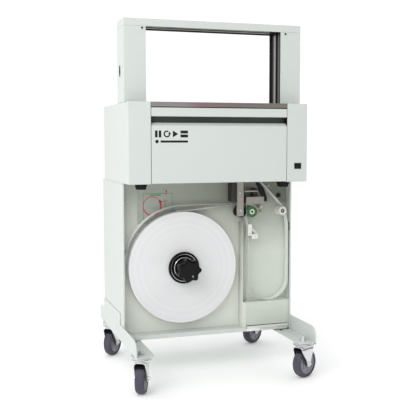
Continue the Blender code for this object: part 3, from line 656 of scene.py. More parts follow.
def beside(post, offset):
    """A place whose XY plane is the wheel's, this far to the side of the post."""
    sideways = Matrix(((0, 0, 1, 0), (1, 0, 0, 0), (0, 1, 0, 0), (0, 0, 0, 1)))
    return post @ Matrix.Translation((offset, 0.0, 0.0)) @ sideways


def ring_sector(centre, inner, outer, start, end, steps=20):
    """The outline of part of a flat ring, in degrees."""
    inside = arc(centre, inner, start, end, steps)
    return arc(centre, outer, start, end, steps) + inside[::-1]


def turned(name, profile, place, body, finish, segments=56, closed=True, stands_for=()):
    """One lathed ring or disc as a finished piece."""
    shape = bmesh.new()
    lathe(shape, profile, place, segments, closed)
    piece(name, shape, body, finish, stands_for)


def fork_sheet(shape, post):
    """The pressed fork as one folded surface: leg, bridge and leg."""
    leg = 0.0197            # from the wheel's middle to a leg's
    bend = 0.011
    shoulder = 0.0985
    boss = 0.0105           # the round end about the axle
    heel, toe = -0.031, 0.030
    drops = [0.0396, 0.0402, 0.0415, 0.0440, 0.050, 0.056, 0.063, 0.071, 0.079, 0.086, 0.092]
    path = [(leg, drop) for drop in drops]
    for step in range(7):
        angle = math.pi / 2 * step / 6
        path.append((
            leg - bend * (1 - math.cos(angle)), shoulder + bend * math.sin(angle),
        ))
    path += [(-across, height) for across, height in reversed(path)]
    rows = []
    for across, height in path:
        if height < wheel_radius:
            half = math.sqrt(max(boss ** 2 - (wheel_radius - height) ** 2, 0.0)) + 0.0004
            back, front = hub - half, hub + half
        else:
            share = smooth_step((height - 0.052) / 0.050)
            back = hub - boss + (heel - hub + boss) * share
            front = hub + boss + (toe - hub - boss) * share
        rows.append([
            shape.verts.new(post @ Vector((across, back + (front - back) * step / 8, height)))
            for step in range(9)
        ])
    for low, high in zip(rows, rows[1:]):
        for a, b, c, d in zip(low, low[1:], high[1:], high):
            shape.faces.new((a, b, c, d))


def caster_guard_and_shade(shape, post):
    """A shell over the tread and two thin cheeks between the wheel and the legs."""
    centre = Vector((hub, wheel_radius))
    outer, inner = 0.0540, 0.0524
    half = 0.0175
    sheet = 0.0008
    push(shape, ring_sector(centre, inner, outer, 70, 130, 14), beside(post, -half), 2 * half)
    cheek = arc(centre, outer, 70, 130, 14) + [
        (centre.x - 0.030, centre.y + 0.020), (centre.x - 0.017, centre.y - 0.002),
        (centre.x - 0.006, centre.y - 0.012), (centre.x + 0.006, centre.y + 0.010),
    ]
    for offset in (-half, half - sheet):
        push(shape, cheek, beside(post, offset), sheet)


for corner in corners:
    caster = f"caster_{corner}"
    post = post_at(corner)

    shape = bmesh.new()
    fork_sheet(shape, post)
    bmesh.ops.recalc_face_normals(shape, faces=shape.faces)
    fork = piece(f"fork_{corner}_pressing", shape, caster, zinc, [f"fork_{corner}"])
    with_wall(fork, 0.0030, 0.0007)

    turned(f"{caster}_crown", [
        (0.0, 0.1105), (0.0260, 0.1105), (0.0318, 0.1118), (0.0338, 0.1140), (0.0340, 0.1168),
        (0.0332, 0.1176), (0.0296, 0.1178), (0.0296, 0.1186), (0.0330, 0.1188), (0.0338, 0.1196),
        (0.0338, 0.1228), (0.0330, 0.1240), (0.0150, 0.1246), (0.0, 0.1246),
    ], post, caster, zinc, closed=False)

    # The guard's black is partly a moulded lining and partly painted shade under the fork.
    guard_and_shade = bmesh.new()
    caster_guard_and_shade(guard_and_shade, post)
    piece(f"{caster}_guard", guard_and_shade, caster, black_moulding)

    axle = bmesh.new()
    for sign in (-1, 1):
        end = post @ aimed((sign * 0.0213, hub, wheel_radius), (sign, 0.0, 0.0))
        hex_nut(axle, end, 0.0064, 0.0030, 0.0034)
    piece(f"{caster}_axle_nuts", axle, caster, zinc)

    wheel = bmesh.new()
    axis = post @ aimed((0.0, hub, wheel_radius), OUT_RIGHT)
    tread = [
        (0.0368, 0.0136), (0.0385, 0.0150), (0.0425, 0.0157), (0.0452, 0.0152),
        (0.0474, 0.0134), (0.0489, 0.0104), (0.0497, 0.0066), (wheel_radius, 0.0022),
    ]
    tread += [(radius, -out) for radius, out in reversed(tread)]
    lathe(wheel, tread, axis, 72, True, look=0)
    disc = [
        (0.0054, 0.0165), (0.0105, 0.0165), (0.0122, 0.0158), (0.0135, 0.0128),
        (0.0150, 0.0112), (0.0305, 0.0104), (0.0322, 0.0118), (0.0338, 0.0138),
        (0.0352, 0.0142), (0.0367, 0.0135),
    ]
    disc += [(radius, -out) for radius, out in reversed(disc)]
    lathe(wheel, disc, axis, 72, True, look=1)
    for sign in (-1, 1):
        for spoke in range(5):
            rib = axis @ Matrix.Rotation(math.tau * spoke / 5, 4, "Z")
            low, high = sorted((sign * 0.0100, sign * 0.0126))
            push(wheel, [
                (0.0130, -0.0016), (0.0328, -0.0011), (0.0328, 0.0011), (0.0130, 0.0016),
            ], rib @ Matrix.Translation((0.0, 0.0, low)), high - low, 1)
    piece(
        f"wheel_{corner}_tyre", wheel, f"wheel_{corner}", [tyre, wheel_core],
        [f"wheel_{corner}"], 35.0,
    )

top_plates = bmesh.new()
for across, along, swivel in corners.values():
    lathe(top_plates, [
        (0.0, 0.12505), (0.0345, 0.12505), (0.0352, 0.1256), (0.0352, 0.1272),
        (0.0345, 0.12785), (0.0, 0.12785),
    ], Matrix.Translation((across, along, 0.0)), 56)
piece("caster_top_plates", top_plates, "frame", zinc)

for corner in ("front_left", "front_right"):
    post = post_at(corner)
    lever = bmesh.new()
    push(lever, [
        (0.0350, 0.1045), (0.0395, 0.1105), (0.0480, 0.1108), (0.0550, 0.1070),
        (0.0546, 0.1052), (0.0476, 0.1088), (0.0400, 0.1086), (0.0368, 0.1030),
    ], beside(post, -0.0125), 0.025, 0)
    ease(lever, 0.0005, 2)
    push(lever, [
        (0.0480, 0.1112), (0.0548, 0.1078), (0.0557, 0.1098), (0.0548, 0.1124), (0.0486, 0.1138),
    ], beside(post, -0.0135), 0.027, 1)
    pivot = post @ aimed((-0.0150, 0.037, 0.108), OUT_RIGHT)
    lathe(lever, [(0.0, 0.0), (0.0030, 0.0), (0.0030, 0.030), (0.0, 0.030)], pivot, 16, look=1)
    piece(
        f"pedal_{corner}_lever", lever, f"pedal_{corner}", [zinc, dull_black],
        [f"pedal_{corner}"],
    )


# ---------------------------------------------------------------- front of the head
# The drop-down panel carries a printed pictogram, and the right cover a black rocker
# switch. Moulded catches under the head hold the panel shut.

ink = clouded(
    "printed ink", 0.1, (500.0,),
    ((0.012, 0.013, 0.015), (0.028, 0.03, 0.032)), (0.4, 0.15, 90.0),
)


def upright(y):
    """A place whose XY plane stands up facing the operator, at this y."""
    return Matrix(((1, 0, 0, 0), (0, 0, -1, y), (0, 1, 0, 0), (0, 0, 0, 1)))


def bar(a, b, width):
    """The outline of a straight bar from a to b."""
    a, b = Vector(a), Vector(b)
    along = (b - a).normalized() * (width / 2)
    across = Vector((-along.y, along.x))
    return [a - across, b - across, b + across, a + across]


front_y = -0.2140        # the head's front face
printed = bmesh.new()
left, right = -0.2265, -0.1150
low, high = 0.8288, 0.8513
half_way = (low + high) / 2
for outline in (
    oblong(left, low, left + 0.0085, high),
    oblong(left + 0.0125, low, left + 0.0210, high),
    ring_sector((left + 0.0400, half_way), 0.0068, (high - low) / 2, 60, 360, 24),
    [(left + 0.0440, half_way), (left + 0.0540, half_way), (left + 0.0490, high - 0.003)],
    [(left + 0.0600, low), (left + 0.0780, half_way), (left + 0.0600, high)],
    oblong(left + 0.0860, low, right, low + 0.0095),
    oblong(left + 0.0860, high - 0.0095, right, high),
    arc((left + 0.0065, 0.8155), 0.0058, 0, 345, 23),
    oblong(left + 0.0185, 0.8120, right, 0.8190),
):
    push(printed, outline, upright(front_y), 0.00015)
piece("panel_pictogram", printed, "front_panel", ink)

# Painted shade: dark grey-green sheets line the grip recess under the fascia to darken it.
recess_shade = clouded(
    "grip recess shade", 0.15, (60.0, 4.0, (0.1, 1.0, 1.0)),
    ((0.062, 0.082, 0.070), (0.115, 0.140, 0.124)), (0.55, 0.2, 120.0), (0.00006, 900.0, 2.0),
)


def blocks(name, pairs, finish, rounding=0.0, segments=2, body="frame"):
    """Blocks between pairs of corners, as one finished piece."""
    shape = bmesh.new()
    for low, high in pairs:
        slab(shape, low, high)
    if rounding:
        ease(shape, rounding, segments)
    piece(name, shape, body, finish)


panel_half = 0.2386
# Painted shade sheets at the back and top of the grip recess.
blocks("grip_liner", [
    ((-panel_half, -0.1868, 0.8625), (panel_half, -0.1856, 0.8968)),
    ((-panel_half, -0.2118, 0.8962), (panel_half, -0.1868, 0.8968)),
], recess_shade)
# Painted shade: dark strips behind the seams beside the front panel and under the table lip.
blocks("seam_seals", [
    ((side - 0.0006, -0.2142, 0.6790), (side + 0.0006, -0.2060, 0.9435))
    for side in (-0.2392, 0.2392)
] + [((-panel_half, -0.2144, 0.9254), (panel_half, -0.2090, 0.9284))], dull_black)


def eased(node, name, finish, body="frame", radius=0.0006, segments=2):
    """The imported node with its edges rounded, as a finished piece."""
    shape = copied(node)
    ease(shape, radius, segments)
    piece(name, shape, body, finish, [node])


eased(
    "rocker_switch", "rocker_switch_cap", black_moulding, "rocker_switch",
    0.0008, 3,
)
switch_x, switch_z = 0.2803, 0.7313
outer_x, outer_z = 0.0125, 0.0100
inner_x, inner_z = 0.0106, 0.0082
blocks("switch_bezel", [
    (
        (switch_x + left, front_y - 0.001, switch_z + low),
        (switch_x + right, front_y, switch_z + high),
    )
    for left, low, right, high in (
        (-outer_x, inner_z, outer_x, outer_z), (-outer_x, -outer_z, outer_x, -inner_z),
        (-outer_x, -inner_z, -inner_x, inner_z), (inner_x, -inner_z, outer_x, inner_z),
    )
], black_moulding)

for catch in ("door_catch_left", "door_catch_right"):
    eased(catch, f"{catch}_pad", dull_black, "frame", 0.0009, 3)

# Painted shade: a flat black oval on the left column's outer side stands for the dark opening of
# the slot, with no reflection so that it stays black.
slot_shadow = bmesh.new()
oval = [(0.0092 * across, 0.0200 * up) for across, up in arc((0.0, 0.0), 1.0, 0, 351, 39)]
leftwards = Matrix(((0, 0, -1, -0.3150), (1, 0, 0, -0.0960), (0, 1, 0, 1.0490), (0, 0, 0, 1)))
push(slot_shadow, oval, leftwards, 0.0003)
slot_shadow_black = clouded(
    "slot shadow", 0.0, (300.0,),
    ((0.008, 0.008, 0.009), (0.02, 0.02, 0.02)), (0.6, 0.2, 90.0),
)
piece("column_slot_cover", slot_shadow, "frame", slot_shadow_black)


# ---------------------------------------------------------------- table and arch track
# Brushed stainless plates with folded lips, the band deck and the anvil slide between
# them, and the black moulded track that lines the arch.

brushed = Finish("brushed stainless", {"Metallic": 0.85})
grain = brushed.mottle(60.0, 6.0, (1.0, 40.0, 40.0))
along = brushed.axis(brushed.place, "X")
# Painted reflection: the colour runs from grey through pink to tan along the table, standing for
# the surroundings reflected in the steel. The grain mixes paler streaks over it.
painted_reflection_share = ((along + 0.24) * 2.08).held()
painted_reflection_tone = brushed.add("ValToRGB", {"stops": [
    (0.0, (0.34, 0.34, 0.33)), (0.20, (0.38, 0.34, 0.34)), (0.34, (0.33, 0.17, 0.21)),
    (0.48, (0.25, 0.195, 0.185)), (0.70, (0.235, 0.205, 0.185)), (1.0, (0.26, 0.235, 0.18)),
]}, {"Fac": painted_reflection_share})
brushed.feed("Base Color", brushed.between(grain * 0.5, painted_reflection_tone, (0.50, 0.47, 0.44)))
brushed.feed("Roughness", 0.28 + 0.22 * grain)
brushed.relief(grain, 0.00003)

for node in ("table_front", "table_rear", "band_deck"):
    folded(node, brushed, "frame", 0.0009, 0.0003)
eased("anvil_slide", "anvil_slide_plate", zinc, "anvil_slide", 0.0003, 1)

track = Finish("track moulding", {"Specular IOR Level": 0.2})
depth_along = track.axis(track.place, "Y")
streaks = track.mottle(25.0, 5.0, (1.0, 1.0, 0.12))
sharp = 2000.0           # a line's edge fades over half a millimetre
# Paler lines along the track: the runner is a metal guide strip, and a fainter grey line runs
# along the lip. The streaks make both patchy.
runner = ((depth_along + 0.1115) * sharp).held() * ((-0.0955 - depth_along) * sharp).held()
lip_line = ((depth_along + 0.1395) * sharp).held() * ((-0.1310 - depth_along) * sharp).held()
pale_lines = (runner * (0.45 + 0.55 * streaks) + lip_line * 0.35 * streaks).held()
below_beam = ((1.188 - track.axis(track.place, "Z")) * 200.0).held()
track.feed("Base Color", track.between(
    pale_lines * (0.02 + 0.98 * below_beam), (0.018, 0.019, 0.019), (0.36, 0.37, 0.35),
))
track.feed("Metallic", (runner * below_beam * 0.7).held())
track.feed("Roughness", 0.22 + 0.28 * streaks)
track.relief(track.mottle(700.0, 2.0), 0.00003)
for node in ("track_left", "track_right", "track_top"):
    eased(node, f"{node}_lining", track, radius=0.0005)


# ---------------------------------------------------------------- reel of band
# White polypropylene band is wound on a paper core. It runs on a black hub and is held by
# a ribbed clamping cup under a seven-lobed star knob.

reel_x, reel_z = -0.094, 0.378

roll = Finish("wound band", {"Specular IOR Level": 0.25})
from_axis = roll.add("Mapping", {}, {
    "Vector": roll.place, "Location": (-(reel_x + middle), 0.0, -reel_z),
})
flat = roll.add("VectorMath", {"operation": "MULTIPLY"}, {0: from_axis, 1: (1.0, 0.0, 1.0)})
radius_of = roll.add("VectorMath", {"operation": "LENGTH"}, {0: flat}, 1)
turns, bands = (
    roll.add("TexNoise", {"noise_dimensions": "1D"}, {
        "W": radius_of, "Scale": scale, "Detail": detail,
    })
    for scale, detail in ((900.0, 4.0), (90.0, 3.0))
)
roll.feed("Base Color", roll.between(
    turns * 0.35 + bands * 0.65, (0.70, 0.70, 0.712), (0.80, 0.80, 0.81),
))
roll.feed("Roughness", 0.42 + 0.2 * turns)
roll.relief(turns, 0.0003)

chance = random.Random(11)
wound = bmesh.new()
roll_face = aimed((reel_x, -0.0905, reel_z), OUT_FRONT)
reel_profile = [(0.038, -0.0310), (0.038, -0.0004)]
spot = 0.040
while spot < 0.193:
    reel_profile.append((spot, -chance.uniform(0.00002, 0.00032)))
    spot += 0.0012
reel_profile += [(0.1942, -0.0002), (0.1950, -0.0010), (0.1950, -0.0300), (0.1942, -0.0308)]
lathe(wound, reel_profile, roll_face, 192, True)
piece("band_reel_windings", wound, "reel", roll, ["band_reel"], 60.0)

eased("reel_hub", "reel_hub_turning", black_moulding, "reel", 0.0005)

gloss_black = clouded(
    "clamp cup", 0.16, (150.0,),
    ((0.002, 0.002, 0.0022), (0.006, 0.006, 0.0065)), (0.10, 0.14, 40.0, 4.0),
)
cup = bmesh.new()
reel_axis = aimed((reel_x, 0.0, reel_z), OUT_FRONT)
lathe(cup, [
    (0.0101, 0.0912), (0.0535, 0.0912), (0.0549, 0.0918), (0.0555, 0.0930), (0.0555, 0.0990),
    (0.0549, 0.1004), (0.0535, 0.1010), (0.0518, 0.1008), (0.0500, 0.0992), (0.0478, 0.0976),
    (0.0452, 0.0978), (0.0438, 0.1002), (0.0420, 0.1006), (0.0330, 0.0990), (0.0306, 0.1000),
    (0.0292, 0.1040), (0.0262, 0.1250), (0.0246, 0.1340), (0.0236, 0.1348), (0.0101, 0.1348),
], reel_axis, 96, True)
for step in range(24):
    rib = reel_axis @ Matrix.Rotation(math.tau * step / 24, 4, "Z")
    push(cup, oblong(0.0300, -0.0008, 0.0432, 0.0008),
         rib @ Matrix.Translation((0.0, 0.0, 0.0990)), 0.0016)
piece("clamp_cup_moulding", cup, "reel", gloss_black, ["clamp_cup"])

# Painted highlights: two thin zinc rings on the black cup's face stand for the silver highlights
# on it.
cup_highlight_rings = bmesh.new()
lathe(cup_highlight_rings, [
    (0.0335, 0.1000), (0.0340, 0.1016), (0.0362, 0.1020), (0.0372, 0.1012), (0.0372, 0.0998),
], reel_axis, 64, True)
lathe(cup_highlight_rings, [
    (0.0462, 0.0984), (0.0466, 0.0994), (0.0480, 0.0994), (0.0484, 0.0986), (0.0484, 0.0976),
], reel_axis, 64, True)
piece("clamp_cup_rings", cup_highlight_rings, "reel", zinc)

knob = bmesh.new()
lathe(knob, [
    (0.0102, 0.1360), (0.0355, 0.1360), (0.0374, 0.1368), (0.0383, 0.1388), (0.0383, 0.1630),
    (0.0378, 0.1652), (0.0362, 0.1668), (0.0335, 0.1676), (0.0250, 0.1680), (0.0, 0.1680),
], reel_axis, 140, False, 7, 0.115)
lathe(knob, [(0.0102, 0.1360), (0.0102, 0.1490), (0.0, 0.1490)], reel_axis, 40)
lathe(knob, [
    (0.0, 0.1678), (0.0120, 0.1678), (0.0128, 0.1672), (0.0128, 0.1660),
], reel_axis, 40)
bmesh.ops.recalc_face_normals(knob, faces=knob.faces)
piece("star_knob_moulding", knob, "star_knob", gloss_black, ["star_knob"], 35.0)

# A small white strip on the knob's face, drawn flat in the wound band's finish.
knob_mark = bmesh.new()
knob_mark_ends = [
    arc((reel_x, reel_z), from_middle, -62, -62, 1)[0] for from_middle in (0.018, 0.026)
]
push(knob_mark, bar(*knob_mark_ends, 0.0030), upright(-0.1678), 0.0002)
piece("star_knob_tick", knob_mark, "star_knob", roll)

eased("spindle_bearing", "spindle_bearing_housing", zinc)


# ---------------------------------------------------------------- band
# The band is 30 mm wide and 0.4 mm thick, white and slightly translucent. It leaves the
# reel in a slack turn, runs over the drive wheel and hangs in the pool as a loop.

strip = Finish("band strip", {"Specular IOR Level": 0.4})
strip.feed("Base Color", strip.between(
    strip.mottle(30.0, 4.0), (0.84, 0.86, 0.83), (0.93, 0.94, 0.92),
))
strip.feed("Roughness", 0.30 + 0.2 * strip.mottle(120.0))
strip.feed("Alpha", 0.90 + 0.10 * strip.mottle(14.0, 3.0))

ribbon_tree, add = geometry_tree("lay band", [
    ("Route", "Geometry"), ("Step", "Float"), ("Width", "Float"), ("Thickness", "Float"),
    ("Finish", "Material"),
])
given = add("NodeGroupInput", {}, {})
route = add("GeometryNodeMeshToCurve", {}, {"Mesh": given["Route"]})
even = add("GeometryNodeResampleCurve", {"mode": "LENGTH"}, {
    "Curve": route[0], "Length": given["Step"],
})
section = add("GeometryNodeCurvePrimitiveQuadrilateral", {"mode": "RECTANGLE"}, {
    "Width": given["Width"], "Height": given["Thickness"],
})
swept = add("GeometryNodeCurveToMesh", {}, {
    "Curve": even[0], "Profile Curve": section[0], "Fill Caps": True,
})
close_tree(add, given, swept[0])


def smooth_route(points, steps=6):
    """Points of one smooth curve through the given (x, z) points."""
    points = [Vector(point) for point in points]
    ends = [points[0] * 2 - points[1], *points, points[-1] * 2 - points[-2]]
    route = []
    for a, b, c, d in zip(ends, ends[1:], ends[2:], ends[3:]):
        for step in range(steps):
            t = step / steps
            route.append(0.5 * (
                2 * b + (c - a) * t + (2 * a - 5 * b + 4 * c - d) * t * t
                + (3 * b - a - 3 * c + d) * t ** 3
            ))
    return [*route, points[-1]]


def strand(name, points, width, middle_y, replaces=()):
    """Lay a band on edge along a route of (x, z) points."""
    route = smooth_route(points)
    mesh = bpy.data.meshes.new(name)
    mesh.from_pydata(
        [(point.x, middle_y, point.y) for point in route],
        [(index, index + 1) for index in range(len(route) - 1)], [],
    )
    made = grown(name, mesh, ribbon_tree, {
        "Step": 0.003, "Width": width, "Thickness": 0.0004, "Finish": strip.material,
    })
    made.data.transform(Matrix.Translation((middle, 0.0, 0.0)))
    made.data.shade_smooth()
    made.data.set_sharp_from_angle(angle=math.radians(40))
    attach(made, "frame")
    if replaces:
        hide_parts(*replaces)
    return made


band_middle = -0.0750
roller_z = 0.566         # the drive wheel, pinch roller and guide roller stand in a row
drive_x, pinch_x, guide_x = 0.1205, 0.1605, 0.2795
wrap = []
for step in range(25):
    share = step / 24
    angle = math.radians(176 - 78 * share)
    away = 0.2125 + 0.004 * share
    wrap.append((reel_x + away * math.cos(angle), reel_z + away * math.sin(angle)))
wrap += [(-0.070, 0.5945), (0.000, 0.5955), (0.076, 0.5950), (0.100, 0.5935)]
wrap += arc((drive_x, roller_z), 0.0199, 84, 4, 10)
strand("band_run_strip", wrap, 0.0298, band_middle, ["band_run"])
strand("band_off_reel", [
    (-0.1150, 0.5745), (-0.060, 0.5770), (0.000, 0.5835), (0.050, 0.5895), (0.086, 0.5925),
], 0.0296, band_middle)
loop = [(0.1404, 0.5655), (0.1414, 0.545), (0.1475, 0.520), (0.1510, 0.480), (0.1510, 0.400)]
loop += arc((0.2275, 0.320), 0.0765, 180, 360, 20)
loop += [(0.3040, 0.420), (0.3030, 0.500), (0.2985, 0.540)]
loop += arc((guide_x, roller_z), 0.0145, 5, 52, 6)
loop += [(0.2065, 0.6635), (0.196, 0.6745)]
strand("band_pool_strip", loop, 0.0298, band_middle, ["band_pool"])


# ---------------------------------------------------------------- band pool
# A clear acrylic cover closes the pool. It drops forward on a chromed hinge rail. Its
# edges look greener and denser than its face, as acrylic does.

acrylic = Finish("clear acrylic", {"Specular IOR Level": 0.6})
smear = acrylic.mottle(8.0, 4.0)
acrylic.feed("Base Color", acrylic.between(smear, (0.62, 0.70, 0.62), (0.72, 0.78, 0.70)))
acrylic.feed("Roughness", 0.05 + 0.14 * smear)
# The cover is drawn more opaque from 0.5 m high downwards.
denser_below = ((0.50 - acrylic.axis(acrylic.place, "Z")) * 9.0).held()
acrylic.feed("Alpha", 0.025 + 0.03 * smear + 0.10 * denser_below)
acrylic_edge = Finish("acrylic edge", {"Specular IOR Level": 0.6})
acrylic_edge.feed("Base Color", acrylic_edge.between(
    acrylic_edge.mottle(60.0), (0.50, 0.60, 0.50), (0.62, 0.70, 0.60),
))
acrylic_edge.feed("Roughness", 0.12 + 0.15 * acrylic_edge.mottle(90.0))
acrylic_edge.feed("Alpha", 0.62 + 0.2 * acrylic_edge.mottle(30.0))

cover = copied("pool_cover")
ease(cover, 0.0004, 1)
for side_face in cover.faces:
    side_face.material_index = 0 if is_broad(side_face, 0.01) else 1
piece("pool_cover_sheet", cover, "pool_cover", [acrylic, acrylic_edge], ["pool_cover"])

bracket_white = clouded(
    "bracket moulding", 0.4, (60.0, 4.0),
    ((0.74, 0.75, 0.70), (0.88, 0.88, 0.84)), (0.35, 0.2, 90.0),
)
blocks("pool_lever_bracket", [
    ((0.1450, -0.0958, 0.4800), (0.1600, -0.0912, 0.5210)),
    ((0.1600, -0.0958, 0.4680), (0.1835, -0.0912, 0.4850)),
    ((0.1480, -0.0966, 0.5060), (0.1550, -0.0958, 0.5180)),
], bracket_white, 0.0008, 2, "pool_lever")
screws("pool_lever_screws", "pool_lever", [
    ((0.1720, -0.0958, 0.4765), OUT_FRONT), ((0.1515, -0.0958, 0.4880), OUT_FRONT),
], 0.0030, zinc)

chrome = clouded(
    "chrome plate", 0.5, (25.0, 4.0, (0.15, 1.0, 1.0)),
    ((0.66, 0.67, 0.64), (0.88, 0.89, 0.86)), (0.08, 0.12, 50.0), metal=0.55,
)

rail = bmesh.new()
rail_left, rail_right = 0.138, 0.297
rail_y = -0.1045
rail_profile = [(0.0, 0.0), (0.0034, 0.0), (0.0042, 0.0008)]
for joint in (0.0318, 0.0636, 0.0954, 0.1272):
    rail_profile += [
        (0.0042, joint - 0.0006), (0.0037, joint - 0.0003),
        (0.0037, joint + 0.0003), (0.0042, joint + 0.0006),
    ]
rail_profile += [(0.0042, 0.1582), (0.0034, 0.1590), (0.0, 0.1590)]
lathe(rail, rail_profile, aimed((rail_left, rail_y, 0.1505), OUT_RIGHT), 32)
slab(rail, (rail_left, -0.1020, 0.1353), (rail_right, -0.0980, 0.1470))
piece("hinge_rail_knuckles", rail, "frame", chrome, ["hinge_rail"])
# Painted shadows: black strips just below and just above the rail.
blocks("hinge_rail_seal", [
    ((rail_left, rail_y, 0.1465), (rail_right, -0.0992, 0.1478)),
    ((rail_left, -0.1002, 0.1548), (rail_right, -0.0992, 0.1562)),
], dull_black)
blocks("rubber_sill", [
    ((0.262, -0.0988, 0.1342), (0.309, -0.0975, 0.1375)),
], dull_black, 0.0004, 1)


# ---------------------------------------------------------------- feed unit
# A machined plate and guide block lead the band over the rubber drive wheel. A sprung bar
# carries the green pinch roller against it, and a white roller guides the band up.

scratches = (90.0, 5.0, (1.0, 1.0, 12.0))
machined = clouded(
    "machined steel", 0.5, scratches, ((0.30, 0.28, 0.25), (0.50, 0.47, 0.43)),
    (0.26, 0.24, *scratches), (0.00004, *scratches), metal=0.9,
)
pits = (300.0, 5.0)
cast = clouded(
    "grey casting", 0.4, pits, ((0.030, 0.029, 0.028), (0.075, 0.072, 0.068)),
    (0.45, 0.25, *pits), (0.00015, *pits), metal=0.3,
)
green = clouded(
    "green polyurethane", 0.2, (70.0, 4.0),
    ((0.003, 0.075, 0.002), (0.010, 0.130, 0.006)), (0.34, 0.2, 120.0), (0.00005, 600.0),
)
white_moulding = clouded(
    "white moulding", 0.45, (40.0, 4.0),
    ((0.66, 0.66, 0.62), (0.78, 0.78, 0.74)), (0.32, 0.2, 80.0),
)
brass = clouded(
    "brass", 0.5, (200.0,), ((0.45, 0.34, 0.16), (0.60, 0.48, 0.26)), (0.24, 0.2, 90.0),
    metal=1.0,
)

for node, name, body, finish, slot in (
    ("feed_plate", "feed_plate_machined", "frame", machined, "steel"),
    ("guide_block", "guide_block_casting", "frame", cast, "machine_grey"),
    ("pinch_arm", "pinch_arm_bar", "pinch_arm", machined, "steel"),
    ("band_chute", "band_chute_moulding", "frame", black_moulding, "black_plastic"),
    ("feed_motor", "feed_motor_case", "frame", cast, "machine_grey"),
    ("seal_motor", "seal_motor_case", "frame", cast, "machine_grey"),
    ("seal_frame", "seal_frame_casting", "frame", cast, "machine_grey"),
    ("cam_shaft", "cam_shaft_turning", "cam_shaft", machined, "zinc"),
    ("power_inlet", "power_inlet_moulding", "frame", black_moulding, "black_plastic"),
    ("pool_lever", "pool_lever_moulding", "pool_lever", white_moulding, "white_plastic"),
):
    eased(node, name, finish, body)

tread_radius = 0.0194
drive_profile = [
    (0.0, 0.0930), (0.0075, 0.0930), (0.0080, 0.0922), (0.0150, 0.0922), (0.0158, 0.0930),
    (0.0188, 0.0930), (tread_radius, 0.0924),
]
for groove in (0.0880, 0.0825, 0.0770, 0.0715, 0.0660):
    drive_profile += [
        (tread_radius, groove), (0.0189, groove - 0.0004),
        (0.0189, groove - 0.0010), (tread_radius, groove - 0.0014),
    ]
drive_profile += [
    (tread_radius, 0.0596), (0.0188, 0.0590), (0.0050, 0.0590), (0.0050, 0.0420), (0.0, 0.0420),
]
turned(
    "drive_wheel_rubber", drive_profile, aimed((drive_x, 0.0, roller_z), OUT_FRONT),
    "drive_wheel", dull_black, closed=False, stands_for=["drive_wheel"],
)

pinch_axis = aimed((pinch_x, 0.0, roller_z), OUT_FRONT)
turned("pinch_roller_tyre", [
    (0.0043, 0.0623), (0.0190, 0.0623), (0.0196, 0.0629), (0.0196, 0.0942), (0.0190, 0.0950),
    (0.0120, 0.0950), (0.0114, 0.0942), (0.0096, 0.0942), (0.0092, 0.0950), (0.0043, 0.0950),
], pinch_axis, "pinch_roller", green, stands_for=["pinch_roller"])
turned("pinch_roller_ring", [
    (0.0045, 0.0949), (0.0045, 0.0957), (0.0088, 0.0957), (0.0092, 0.0953), (0.0092, 0.0949),
], pinch_axis, "pinch_roller", white_moulding, 40)
turned("pinch_axle_end", [
    (0.0, 0.0950), (0.0043, 0.0950), (0.0043, 0.0960), (0.0, 0.0962),
], pinch_axis, "pinch_arm", black_moulding, 24, False)

guide_axis = aimed((guide_x, 0.0, roller_z), OUT_FRONT)
turned("guide_roller_moulding", [
    (0.0, 0.0925), (0.0042, 0.0925), (0.0046, 0.0940), (0.0150, 0.0940), (0.0155, 0.0935),
    (0.0155, 0.0926), (0.0150, 0.0921), (0.0140, 0.0910), (0.0140, 0.0580), (0.0155, 0.0570),
    (0.0155, 0.0555), (0.0150, 0.0551), (0.0, 0.0551),
], guide_axis, "guide_roller", white_moulding, 56, False, ["guide_roller"])
turned("guide_roller_bush", [
    (0.0022, 0.0926), (0.0022, 0.0940), (0.0072, 0.0943), (0.0078, 0.0939), (0.0078, 0.0926),
], guide_axis, "guide_roller", cast, 32)

fittings = bmesh.new()
lathe(fittings, [
    (0.0, 0.0), (0.0036, 0.0), (0.0040, 0.0004), (0.0040, 0.0496), (0.0036, 0.05), (0.0, 0.05),
], aimed((0.1335, -0.0840, 0.6395), OUT_RIGHT), 24)
lathe(fittings, [
    (0.0, 0.0), (0.0055, 0.0), (0.0060, 0.0006), (0.0060, 0.0300), (0.0, 0.0300),
], aimed((0.1963, -0.0620, 0.5830), OUT_FRONT), 32)
slab(fittings, (0.1560, -0.0760, 0.4560), (0.1612, -0.0640, 0.4645))
piece("feed_fittings", fittings, "frame", machined)

eyelet = bmesh.new()
ring_place = aimed((0.2030, -0.0740, 0.5640), OUT_FRONT)
lathe(eyelet, arc((0.0034, 0.0), 0.0014, 0, 324, 9), ring_place, 32, True)
lathe(eyelet, [(0.0, -0.018), (0.0016, -0.018), (0.0016, 0.0), (0.0, 0.0)],
      aimed((0.2030, -0.0740, 0.5686), OUT_FRONT), 16)
piece("band_eyelet", eyelet, "frame", brass)

plate_y = -0.0543        # the mounting plate's front face
wall_x = 0.3097          # the right wall's inner face
screws("feed_screws", "frame", [
    ((0.1100, -0.1050, 0.6350), OUT_FRONT), ((0.1130, -0.1050, 0.5720), OUT_FRONT),
    ((0.1963, -0.0925, 0.5830), OUT_FRONT), ((0.2397, plate_y, 0.6550), OUT_FRONT),
    ((wall_x, -0.0780, 0.2300), OUT_LEFT), ((wall_x, -0.0780, 0.2100), OUT_LEFT),
    ((wall_x, -0.0640, 0.5836), OUT_LEFT), ((-0.2867, plate_y, 0.6105), OUT_FRONT),
], 0.0032, zinc)
dark_bits = bmesh.new()
lathe(dark_bits, [
    (0.0, 0.0), (0.0080, 0.0), (0.0080, 0.0060), (0.0070, 0.0070), (0.0, 0.0070),
], aimed((0.2786, plate_y, 0.6207), OUT_FRONT), 32)
slab(dark_bits, (0.3040, -0.0980, 0.4940), (0.3096, -0.0860, 0.5240))
ease(dark_bits, 0.0006, 2)
